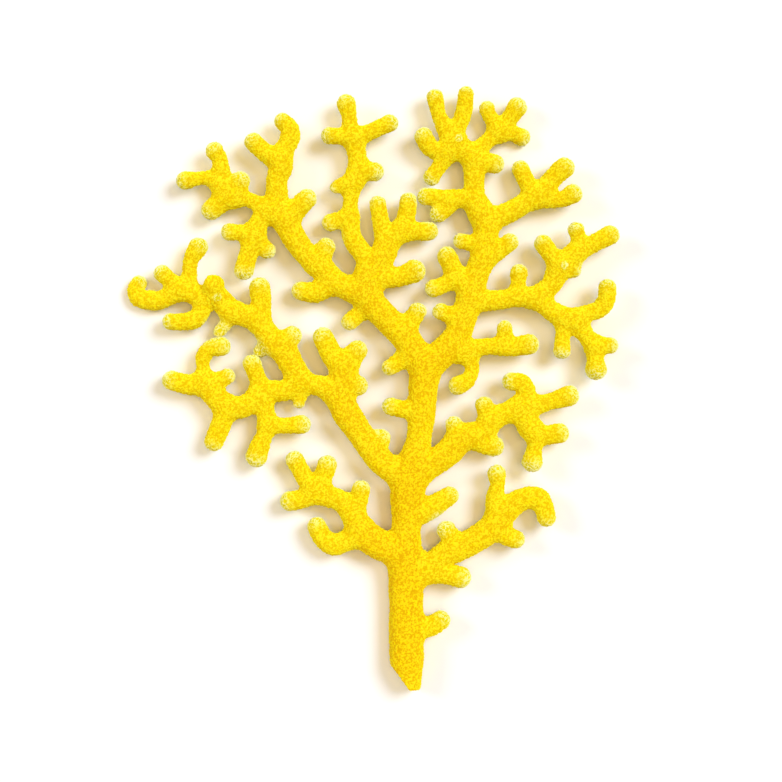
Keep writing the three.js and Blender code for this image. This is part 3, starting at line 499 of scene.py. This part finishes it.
class Lattice:
    """A block of evenly spaced places around the coral. At each: the distance to its skin and to
    the nearest single twig, the number of that twig's piece, its radius there, and how young."""

    def __init__(self, low, high, step):
        self.low = np.array(low, float)
        self.step = step
        shape = np.ceil((np.array(high) - self.low) / step).astype(int) + 1
        self.axes = [
            (self.low[axis] + step * np.arange(shape[axis])).astype(np.float32) for axis in range(3)
        ]
        self.skin = np.full(shape, FAR_AWAY, np.float32)
        self.nearest = np.full(shape, FAR_AWAY, np.float32)
        self.owner = np.full(shape, -1, np.int8)
        self.girth = np.zeros(shape, np.float32)
        self.young = np.zeros(shape, np.float32)

    def window(self, low, high):
        """The lattice's slices that hold the box from low to high."""
        first = np.maximum(np.floor((low - self.low) / self.step).astype(int), 0)
        last = np.minimum(np.ceil((high - self.low) / self.step).astype(int) + 1, self.skin.shape)
        return tuple(slice(start, stop) for start, stop in zip(first, last))

    def places(self, window):
        x, y, z = (axis[part] for axis, part in zip(self.axes, window))
        return x[:, None, None], y[None, :, None], z[None, None, :]


def length_from(places, point):
    return np.sqrt(sum((place - part) ** 2 for place, part in zip(places, point)))


def twig_distance(lattice, path):
    """Distance from each place near a twig to its skin: the least, over the path's short steps, of
    the distance to the step's nearest point less the radius there. Returned with that radius and
    with the window of the lattice that both fill."""
    reach = path[:, 3].max() + NEAR_SKIN
    window = lattice.window(path[:, :3].min(0) - reach, path[:, :3].max(0) + reach)
    distance = np.full([part.stop - part.start for part in window], FAR_AWAY, np.float32)
    girth = np.zeros_like(distance)
    for start, end in zip(path, path[1:]):
        reach = max(start[3], end[3]) + NEAR_SKIN
        part = lattice.window(np.minimum(start, end)[:3] - reach, np.maximum(start, end)[:3] + reach)
        places = lattice.places(part)
        along = (end - start)[:3]
        gaps = [place - value for place, value in zip(places, start)]
        forward = sum(gap * value for gap, value in zip(gaps, along))
        share = np.clip(forward / max(float(along @ along), LEAST_DIVISOR), 0.0, 1.0)
        away = sum((gap - share * value) ** 2 for gap, value in zip(gaps, along))
        radius = start[3] + share * (end[3] - start[3])
        reached = np.sqrt(away) - radius
        inner = tuple(
            slice(small.start - big.start, small.stop - big.start) for small, big in zip(part, window)
        )
        closer = reached < distance[inner]
        distance[inner] = np.where(closer, reached, distance[inner])
        girth[inner] = np.where(closer, radius, girth[inner])
    return distance, girth, window


def flow_together(first, second, reach):
    """The lesser of two distances, less a quarter of reach times the square of how nearly equal
    they are, which fills the corner between two skins with a round fillet."""
    near = np.clip(1.0 - np.abs(first - second) / np.maximum(reach, LEAST_REACH), 0.0, 1.0)
    return np.minimum(first, second) - reach * near * near / 4


def is_free(path, others):
    """Whether a twig's tip stands clear of every other twig, and so is young and pale."""
    places = np.vstack([other for other in others if other is not path])
    depth = np.linalg.norm(places[:, :3] - path[-1, :3], axis=1) - places[:, 3]
    return depth.min() > -BURIED_TIP * path[-1, 3]


def tip_youth(places, path, fade):
    """How young each place near a free tip is: 1 less the smooth step of its distance from the
    twig's round end, times the share that this tip has drawn by its own place."""
    centre, radius = path[-1, :3], path[-1, 3]
    onward = centre - path[-2, :3]
    end = centre + onward * radius / np.linalg.norm(onward)
    near, far = (part * radius for part in fade)
    lot = centre.sum() * TIP_LOT % 1.0
    paleness = PALENESS[0] + lot * (PALENESS[1] - PALENESS[0])
    return paleness * (1.0 - smooth_share(length_from(places, end), near, far))


def grown_lattice(step, rounding):
    """The distances of all twigs flowed together at their roots, cut at the foot and the floor."""
    pieces = [
        (number, name, walked_path(stations))
        for number, twigs in enumerate(GROWTH.values()) for name, stations in twigs.items()
    ]
    paths = [path for _, _, path in pieces]
    every = np.vstack(paths)
    edge = every[:, 3].max() + GROUND_MARGIN
    low = (*(every[:, :2].min(0) - edge), -GROUND_MARGIN)
    high = (*(every[:, :2].max(0) + edge), (every[:, 2] + every[:, 3]).max() + GROUND_MARGIN)
    lattice = Lattice(low, high, step)
    for number, name, path in pieces:
        distance, girth, window = twig_distance(lattice, path)
        places = lattice.places(window)
        reach = rounding * (1.0 - smooth_share(length_from(places, path[0]), *FORK_REACH))
        lattice.skin[window] = flow_together(lattice.skin[window], distance, reach)
        closer = distance < lattice.nearest[window]
        lattice.nearest[window] = np.where(closer, distance, lattice.nearest[window])
        lattice.girth[window] = np.where(closer, girth, lattice.girth[window])
        lattice.owner[window] = np.where(closer, number, lattice.owner[window])
        if name not in DULL_TWIGS and is_free(path, paths):
            young = tip_youth(places, path, PALE_TWIG_FADE if name in PALE_TWIGS else TIP_FADE)
            lattice.young[window] = np.maximum(lattice.young[window], young)
    cut_foot(lattice)
    return lattice


def cut_foot(lattice):
    """The greater of the skin's distance and the depth past a cut keeps one side of its plane. The
    foot's slanted cut and its lowest end are made so, and the floor for the whole coral."""
    x, y, z = lattice.axes
    foot = y < STEM_CUT_TOP_Y
    across, up = STEM_CUT_FACING
    slanted = -(across * (x[:, None] - STEM_CUT_PLACE[0]) + up * (y[foot][None, :] - STEM_CUT_PLACE[1]))
    past = np.maximum(slanted, STEM_END_Y - y[foot][None, :])
    lattice.skin[:, foot] = np.maximum(lattice.skin[:, foot], past[:, :, None])
    lattice.skin[:] = np.maximum(lattice.skin, -z)


# Growth: from distances to a skin
def shifted(block, steps):
    """A block without its first layer along each axis where steps is 1, or its last where it is 0."""
    return block[tuple(slice(1, None) if step else slice(None, -1) for step in steps)]


def skin_points(lattice):
    """One point in every cell that the skin passes through: the mean of the places where the
    distance is 0 on the cell's edges. Returned with the cells' numbers in a block."""
    inside = lattice.skin < 0
    corners = list(np.ndindex(2, 2, 2))
    count = sum(shifted(inside, corner).astype(np.int8) for corner in corners)
    crossed = (count > 0) & (count < len(corners))
    cells = np.argwhere(crossed)
    numbers = np.full(crossed.shape, -1, np.int32)
    numbers[crossed] = np.arange(len(cells))
    heights = {corner: lattice.skin[tuple((cells + corner).T)] for corner in corners}
    total = np.zeros((len(cells), 3))
    hits = np.zeros((len(cells), 1))
    for corner in corners:
        for axis in range(3):
            if corner[axis]:
                continue
            other = tuple(1 if index == axis else part for index, part in enumerate(corner))
            near, far = heights[corner], heights[other]
            passes = (near < 0) != (far < 0)
            share = np.where(passes, near / np.where(passes, near - far, 1.0), 0.0)
            place = np.array(corner, float) + share[:, None] * np.eye(3)[axis]
            total += np.where(passes[:, None], place, 0.0)
            hits += passes[:, None]
    return lattice.low + lattice.step * (cells + total / hits), cells, numbers


def skin_faces(lattice, numbers):
    """One four-sided face round every lattice edge that the skin crosses, through the points of
    the four cells that share the edge, wound so that it faces out of the coral."""
    inside = lattice.skin < 0
    faces = []
    for axis in range(3):
        side, over = (axis + 1) % 3, (axis + 2) % 3
        turned = np.moveaxis(inside, (axis, side, over), (0, 1, 2))
        crossed = turned[:-1, 1:-1, 1:-1] != turned[1:, 1:-1, 1:-1]
        block = np.moveaxis(numbers, (axis, side, over), (0, 1, 2))
        ring = np.stack(
            [block[:, :-1, :-1][crossed], block[:, 1:, :-1][crossed],
             block[:, 1:, 1:][crossed], block[:, :-1, 1:][crossed]], axis=1,
        )
        leaves = turned[:-1, 1:-1, 1:-1][crossed]
        faces.append(np.where(leaves[:, None], ring, ring[:, ::-1]))
    return np.vstack(faces)


def outward_normals(points, faces):
    """The mean of the crossed diagonals of the faces around each point, brought to length 1."""
    diagonals = np.cross(
        points[faces[:, 2]] - points[faces[:, 0]], points[faces[:, 3]] - points[faces[:, 1]],
    )
    normals = np.stack(
        [
            np.bincount(faces.ravel(), np.repeat(diagonals[:, axis], 4), len(points))
            for axis in range(3)
        ], axis=1,
    )
    return normals / np.maximum(np.linalg.norm(normals, axis=1, keepdims=True), LEAST_DIVISOR)


# Grains
def scattered(home, draw):
    """Four even random numbers from 0 to 1 for each cube of the lattice that holds these cubes and
    their neighbours. Returned with the cubes' places in that block."""
    first = home.min(axis=0) - 1
    block = np.random.default_rng(draw).random((*(home.max(axis=0) - first + 2), 4))
    return block, home - first


def grain_cells(points, pitch, draw):
    """Scattered seeds, one in each cube of a lattice of this pitch. For every point: how far the
    nearest seed is, how much further the next one is, both in pitches, and that seed's own lot."""
    scaled = points / pitch
    home = np.floor(scaled).astype(int)
    block, place = scattered(home, draw)
    within = scaled - home
    nearest = np.full(len(points), FAR_SEED)
    second = np.full(len(points), FAR_SEED)
    lot = np.zeros(len(points))
    for offset in np.ndindex(3, 3, 3):
        toward = np.array(offset) - 1
        numbers = block[tuple((place + toward).T)]
        away = np.linalg.norm(numbers[:, :3] + toward - within, axis=1)
        closer = away < nearest
        second = np.where(closer, nearest, np.minimum(second, away))
        lot = np.where(closer, numbers[:, 3], lot)
        nearest = np.where(closer, away, nearest)
    return nearest, second - nearest, lot


def soft_lumps(points, width, draw):
    """Smooth random waves from -1 to 1: the numbers of the eight cube corners around a point,
    each weighted by the smooth shares of the way to it."""
    scaled = points / width
    home = np.floor(scaled).astype(int)
    block, place = scattered(home, draw)
    share = smooth_share(scaled - home, 0.0, 1.0)
    total = np.zeros(len(points))
    for corner in np.ndindex(2, 2, 2):
        weight = np.prod(np.where(np.array(corner) == 1, share, 1.0 - share), axis=1)
        total += weight * block[tuple((place + np.array(corner)).T)][:, 0]
    return 2.0 * total - 1.0


def relief(points, young, pitch):
    """Height from 0 to 1 over every point: crumbs with creases where two crumbs' seeds are equally
    far, each crumb of its own height, on points that were first shaken out of place so that the
    crumbs come out crooked. At a young tip it passes into a net: rims along the borders of wider
    cells, and in each cell a pore of its own depth."""
    shaken = points + CRUMB_SHAKE * pitch * np.stack(
        [soft_lumps(points, SHAKE_WIDTH * pitch, draw) for draw in SHAKE_DRAWS], axis=1,
    )
    seed, crease, lot = grain_cells(shaken, pitch, CRUMB_DRAW)
    dome = 1.0 - np.clip(seed / CRUMB_WIDTH, 0.0, 1.0) ** 2
    crumb = DOME_PART * dome + (1.0 - DOME_PART) * smooth_share(crease, 0.0, CREASE_WIDTH)
    crumb *= LEAST_CRUMB + (1.0 - LEAST_CRUMB) * lot
    _, rim, lot = grain_cells(shaken, PORE_PITCH, PORE_DRAW)
    net = 1.0 - smooth_share(rim, *PORE_EDGE) * (LEAST_PORE + (1.0 - LEAST_PORE) * lot)
    return crumb + smooth_share(young, *CRUMBS_TO_PORES) * (net - crumb)


@functools.lru_cache(maxsize=1)
def grained_skin(fineness, rounding, pitch, depth, lump_height):
    """The skin's points moved along their normals by their relief and by soft lumps. Returned with
    the faces, each face's piece, the later one on a split, and what the finish reads at every
    point. It is kept after the first call, because all pieces are cut from the same skin."""
    lattice = grown_lattice(fineness, rounding)
    points, cells, numbers = skin_points(lattice)
    faces = skin_faces(lattice, numbers)
    normals = outward_normals(points, faces)
    at_cells = tuple(cells.T)
    young = lattice.young[at_cells]
    height = relief(points, young, pitch)
    lumps = sum(share * soft_lumps(points, width, draw) for width, share, draw in LUMPS)
    out = (height - MIDDLE_HEIGHT) * depth + lumps * lump_height
    points = points + normals * out[:, None]
    points[:, 2] = np.maximum(points[:, 2], 0.0)
    feel = {
        "relief": height,
        "young_tip": young,
        "old_trunk": smooth_share(lattice.girth[at_cells], YOUNG_GIRTH, OLD_GIRTH),
    }
    return points, faces, lattice.owner[at_cells][faces].max(axis=1), feel


# Pieces
def open_edges(faces):
    """The edges that only one face uses, each as a pair of points, wound as that face has it."""
    edges = np.stack([faces, np.roll(faces, -1, axis=1)], axis=2).reshape(-1, 2)
    biggest = int(faces.max()) + 1
    forward = edges[:, 0].astype(np.int64) * biggest + edges[:, 1]
    backward = edges[:, 1].astype(np.int64) * biggest + edges[:, 0]
    return edges[~np.isin(forward, backward)]


def edge_groups(edges, count):
    """A number for each edge, the same for edges that hang together: every point takes the least
    number among its neighbours until nothing changes."""
    label = np.arange(count)
    while True:
        least = np.minimum(label[edges[:, 0]], label[edges[:, 1]])
        lowered = label.copy()
        np.minimum.at(lowered, edges[:, 0], least)
        np.minimum.at(lowered, edges[:, 1], least)
        lowered = lowered[lowered]
        if np.array_equal(lowered, label):
            return label[edges[:, 0]]
        label = lowered


def closed_piece(points, faces):
    """One piece's own points and faces, with each open end closed by a fan of triangles from the
    middle of that end, so that the piece is solid where it was split from its neighbour."""
    used, local = np.unique(faces, return_inverse=True)
    local = local.reshape(faces.shape)
    edges = open_edges(local)
    groups, group = np.unique(edge_groups(edges, len(used)), return_inverse=True)
    own = points[used]
    middles = [own[edges[group == number, 0]].mean(axis=0) for number in range(len(groups))]
    caps = np.column_stack([edges[:, 1], edges[:, 0], len(used) + group])
    return used, np.vstack([own, *middles]), local, caps


def written_mesh(name, points, faces, feel):
    """One piece as a mesh in metres, with what its finish reads stored at every point. The edge of
    a cap is sharp, so that the skin's shading runs on over the split."""
    used, places, quads, caps = closed_piece(points, faces)
    mesh = bpy.data.meshes.new(name)
    corners = np.concatenate([quads.ravel(), caps.ravel()]).astype(np.int32)
    sizes = np.repeat([4, 3], [len(quads), len(caps)]).astype(np.int32)
    mesh.vertices.add(len(places))
    mesh.vertices.foreach_set("co", (places * MM).astype(np.float32).ravel())
    mesh.loops.add(len(corners))
    mesh.loops.foreach_set("vertex_index", corners)
    mesh.polygons.add(len(sizes))
    mesh.polygons.foreach_set("loop_start", (np.cumsum(sizes) - sizes).astype(np.int32))
    mesh.polygons.foreach_set("use_smooth", np.ones(len(sizes), bool))
    mesh.update(calc_edges=True)
    edge_of_corner = np.empty(len(corners), np.int32)
    mesh.loops.foreach_get("edge_index", edge_of_corner)
    sharp = np.zeros(len(mesh.edges), bool)
    sharp[edge_of_corner[quads.size :: 3]] = True
    mesh.attributes.new("sharp_edge", "BOOLEAN", "EDGE").data.foreach_set("value", sharp)
    for label, values in feel.items():
        at_points = np.zeros(len(places), np.float32)
        at_points[: len(used)] = values[used]
        mesh.attributes.new(label, "FLOAT", "POINT").data.foreach_set("value", at_points)
    return mesh


def grow_pieces(context, names):
    """Makes the named pieces of the one skin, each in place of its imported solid."""
    shape = context.scene.coral_shape
    points, faces, owner, feel = grained_skin(
        shape.fineness / MM, shape.fork_rounding / MM, shape.grain_pitch / MM,
        shape.grain_depth / MM, shape.lump_height / MM,
    )
    material = bpy.data.materials.get(SKELETON) or skeleton_finish(context.scene.coral_colours)
    order = list(GROWTH)
    for name in names:
        mesh = written_mesh(f"{name}_skin", points, faces[owner == order.index(name)], feel)
        mesh.materials.append(material)
        piece = bpy.data.objects.new(f"{name}_skin", mesh)
        context.scene.collection.objects.link(piece)
        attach(piece, "root")
        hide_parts(name)


# Finish
def add_node(tree, kind, settings=None, **inputs):
    """A shader node with its settings, and its inputs set to a value or joined to a socket. In an
    input's name an underscore stands for a space."""
    made = tree.nodes.new(kind)
    for name, value in (settings or {}).items():
        setattr(made, name, value)
    for name, value in inputs.items():
        put(tree, made.inputs[name.replace("_", " ")], value)
    return made


def put(tree, socket, value):
    if isinstance(value, bpy.types.NodeSocket):
        tree.links.new(value, socket)
    elif socket.type == "RGBA":
        socket.default_value = (*value, 1.0)
    else:
        socket.default_value = value


def stored(tree, name):
    """What was stored at every point of a piece under this name."""
    return add_node(tree, "ShaderNodeAttribute", {"attribute_name": name}).outputs["Fac"]


def eased(tree, value, low, high):
    """A smooth step of a value, 0 at low and 1 at high."""
    return add_node(
        tree, "ShaderNodeMapRange", {"interpolation_type": "SMOOTHSTEP"},
        Value=value, From_Min=low, From_Max=high,
    ).outputs["Result"]


def mixed(tree, share, first, second):
    """The first colour where share is 0 and the second where it is 1."""
    made = add_node(tree, "ShaderNodeMix", {"data_type": "RGBA"})
    wanted = {"Factor": share, "A": first, "B": second}
    for socket in made.inputs:
        if socket.enabled and socket.name in wanted:
            put(tree, socket, wanted[socket.name])
    return next(socket for socket in made.outputs if socket.enabled)


def cloud(tree, waves_per_metre, detail):
    """Soft noise from 0 to 1 in the object's own space."""
    place = add_node(tree, "ShaderNodeTexCoord").outputs["Object"]
    return add_node(
        tree, "ShaderNodeTexNoise", Vector=place, Scale=waves_per_metre, Detail=detail,
    ).outputs["Fac"]


def nearest_seed(tree, seeds_per_metre):
    """How far the nearest of many scattered seeds is, in their own spacing."""
    place = add_node(tree, "ShaderNodeTexCoord").outputs["Object"]
    return add_node(
        tree, "ShaderNodeTexVoronoi", Vector=place, Scale=seeds_per_metre,
    ).outputs["Distance"]


def set_gloss(surface, gloss):
    roughness, level = gloss
    surface.inputs["Roughness"].default_value = roughness
    surface.inputs["Specular IOR Level"].default_value = level


def skeleton_finish(colours):
    """Dry granular skeleton: bright grain tops with painted shade in the creases and small pits, more
    orange where the limbs are old and thick, pale rims and pores darkened by painted shade at the young
    tips, and a fine crumb in the bump."""
    material = bpy.data.materials.new(SKELETON)
    material.use_nodes = True
    tree = material.node_tree
    tree.nodes.clear()
    crumb = cloud(tree, CRUMBS_PER_METRE, detail=2.0)
    height = add_node(tree, "ShaderNodeMath", {"operation": "MULTIPLY_ADD"})
    put(tree, height.inputs[0], crumb)
    put(tree, height.inputs[1], CRUMB_SHARE)
    put(tree, height.inputs[2], stored(tree, "relief"))
    raised = eased(tree, height.outputs["Value"], *CREASE_SHADE_TO_TOP)
    old = stored(tree, "old_trunk")
    young = eased(tree, stored(tree, "young_tip"), 0.0, 1.0)
    flecks = eased(tree, cloud(tree, FLECKS_PER_METRE, detail=1.0), *FLECK_EDGE)
    top = mixed(tree, old, colours.grain, colours.trunk_grain)
    top = mixed(tree, flecks, top, colours.warm_grain)
    crease = mixed(tree, old, colours.crease, colours.trunk_crease_shade)
    # Painted shade: where relief and crumb are low, the darker crease colour stands in for shade in the
    # creases.
    branch = mixed(tree, raised, crease, top)
    # Painted shade: small dark spots of the crease colour stand for shaded pits.
    branch = mixed(tree, eased(tree, nearest_seed(tree, SHADED_PITS_PER_METRE), *SHADED_PIT_EDGE), crease, branch)
    # Painted shade: where a tip's relief is low, in its pores, the darker pore colour stands in for
    # shade.
    rim = eased(tree, stored(tree, "relief"), *RIM_EDGE)
    tip = mixed(tree, rim, colours.shaded_tip_pore, colours.tip_rim)
    colour = mixed(tree, young, branch, tip)
    bump = add_node(
        tree, "ShaderNodeBump", Strength=CRUMB_STRENGTH, Distance=CRUMB_DEPTH, Height=crumb,
    )
    surface = add_node(
        tree, "ShaderNodeBsdfPrincipled",
        Base_Color=colour, Normal=bump.outputs["Normal"], Diffuse_Roughness=1.0,
    )
    set_gloss(surface, CORAL_GLOSS)
    output = add_node(tree, "ShaderNodeOutputMaterial")
    tree.links.new(surface.outputs["BSDF"], output.inputs["Surface"])
    return material


def floor_finish(colour):
    material = bpy.data.materials.new("pale_floor")
    material.use_nodes = True
    surface = material.node_tree.nodes["Principled BSDF"]
    put(material.node_tree, surface.inputs["Base Color"], colour)
    set_gloss(surface, FLOOR_GLOSS)
    return material


# Stage
def lay_floor(context, colour):
    """One flat square at height 0, where the coral's lowest skin is."""
    half = FLOOR_SIZE / 2
    corners = [(-half, -half, 0.0), (half, -half, 0.0), (half, half, 0.0), (-half, half, 0.0)]
    mesh = bpy.data.meshes.new("floor")
    mesh.from_pydata(corners, [], [(0, 1, 2, 3)])
    mesh.materials.append(floor_finish(colour))
    floor = bpy.data.objects.new("floor", mesh)
    context.scene.collection.objects.link(floor)


def hang_light(context, name, side, height, softness, colour, strength):
    """A wide, far lamp, side degrees round from +X and height degrees up, facing the coral. Softness
    is how many degrees across it looks from there."""
    turn, lift = math.radians(side), math.radians(height)
    away = Vector((math.cos(turn) * math.cos(lift), math.sin(turn) * math.cos(lift), math.sin(lift)))
    light = bpy.data.lights.new(name, "SUN")
    light.angle = math.radians(softness)
    light.color = colour
    light.energy = strength
    lamp = bpy.data.objects.new(name, light)
    lamp.location = away
    lamp.rotation_euler = away.to_track_quat("Z", "Y").to_euler()
    context.scene.collection.objects.link(lamp)


def even_sky(context, strength):
    world = bpy.data.worlds.new("even_sky")
    world.use_nodes = True
    sky = world.node_tree.nodes["Background"]
    sky.inputs["Color"].default_value = (*SKY_COLOUR, 1.0)
    sky.inputs["Strength"].default_value = strength
    context.scene.world = world


def look_down(context):
    """The camera straight above, as far up as puts the photograph's width on the fan's middle."""
    camera = bpy.data.cameras.new("overhead")
    camera.lens = LENS
    camera.sensor_width = SENSOR
    height = VIEW_PIXELS * PIXEL * LENS / SENSOR + VIEW_LEVEL
    holder = bpy.data.objects.new("overhead", camera)
    holder.location = (*VIEW_CENTRE, height)
    context.scene.collection.objects.link(holder)
    context.scene.camera = holder


# Operators
class CORAL_OT_trunk(bpy.types.Operator):
    """Grows the stem and the forks that leave it low down"""

    bl_idname = "coral.trunk"
    bl_label = "Grow trunk and low forks"

    def execute(self, context):
        grow_pieces(context, ["stem", "low_left_fork", "low_right_fork", "middle_right_fork"])
        return {"FINISHED"}


class CORAL_OT_left_side(bpy.types.Operator):
    """Grows the left limb and its two branches"""

    bl_idname = "coral.left_side"
    bl_label = "Grow left side"

    def execute(self, context):
        grow_pieces(context, ["left_limb", "left_branch", "lower_left_branch"])
        return {"FINISHED"}


class CORAL_OT_crown(bpy.types.Operator):
    """Grows the upper left limb and the branches of the crown"""

    bl_idname = "coral.crown"
    bl_label = "Grow crown"

    def execute(self, context):
        grow_pieces(context, ["upper_left_limb", "upper_left_branch", "top_branch", "middle_branch"])
        return {"FINISHED"}


class CORAL_OT_right_side(bpy.types.Operator):
    """Grows the right limb and its branches"""

    bl_idname = "coral.right_side"
    bl_label = "Grow right side"

    def execute(self, context):
        grow_pieces(context, ["right_limb", "upper_right_branch", "right_fork", "far_right_branch"])
        return {"FINISHED"}


class CORAL_OT_stage(bpy.types.Operator):
    """Lays the floor, hangs the lights and sets up the camera"""

    bl_idname = "coral.stage"
    bl_label = "Set the stage"

    def execute(self, context):
        studio = context.scene.coral_studio
        lay_floor(context, studio.floor)
        for name, setting in LIGHTS.items():
            hang_light(context, f"{name}_light", *setting, getattr(studio, f"{name}_strength"))
        even_sky(context, studio.sky_strength)
        look_down(context)
        context.scene.view_settings.view_transform = "Standard"
        return {"FINISHED"}


class CORAL_PT_panel(bpy.types.Panel):
    """Lists the coral's operators and settings"""

    bl_idname = "CORAL_PT_panel"
    bl_label = "Branching coral"
    bl_space_type = "VIEW_3D"
    bl_region_type = "UI"
    bl_category = "Coral"

    def draw(self, context):
        for maker in MAKERS:
            self.layout.operator(maker.bl_idname)
        for group in (context.scene.coral_shape, context.scene.coral_colours, context.scene.coral_studio):
            box = self.layout.box()
            for name in group.__annotations__:
                box.prop(group, name)


MAKERS = (CORAL_OT_trunk, CORAL_OT_left_side, CORAL_OT_crown, CORAL_OT_right_side, CORAL_OT_stage)
GROUPS = {"coral_shape": CoralShape, "coral_colours": CoralColours, "coral_studio": CoralStudio}
CLASSES = (*GROUPS.values(), *MAKERS, CORAL_PT_panel)


def register():
    for added in CLASSES:
        bpy.utils.register_class(added)
    for name, group in GROUPS.items():
        setattr(bpy.types.Scene, name, bpy.props.PointerProperty(type=group))


def unregister():
    for name in GROUPS:
        delattr(bpy.types.Scene, name)
    for added in reversed(CLASSES):
        bpy.utils.unregister_class(added)


def main():
    register()
    bpy.ops.coral.trunk()
    bpy.ops.coral.left_side()
    bpy.ops.coral.crown()
    bpy.ops.coral.right_side()
    bpy.ops.coral.stage()


if __name__ == "__main__":
    main()
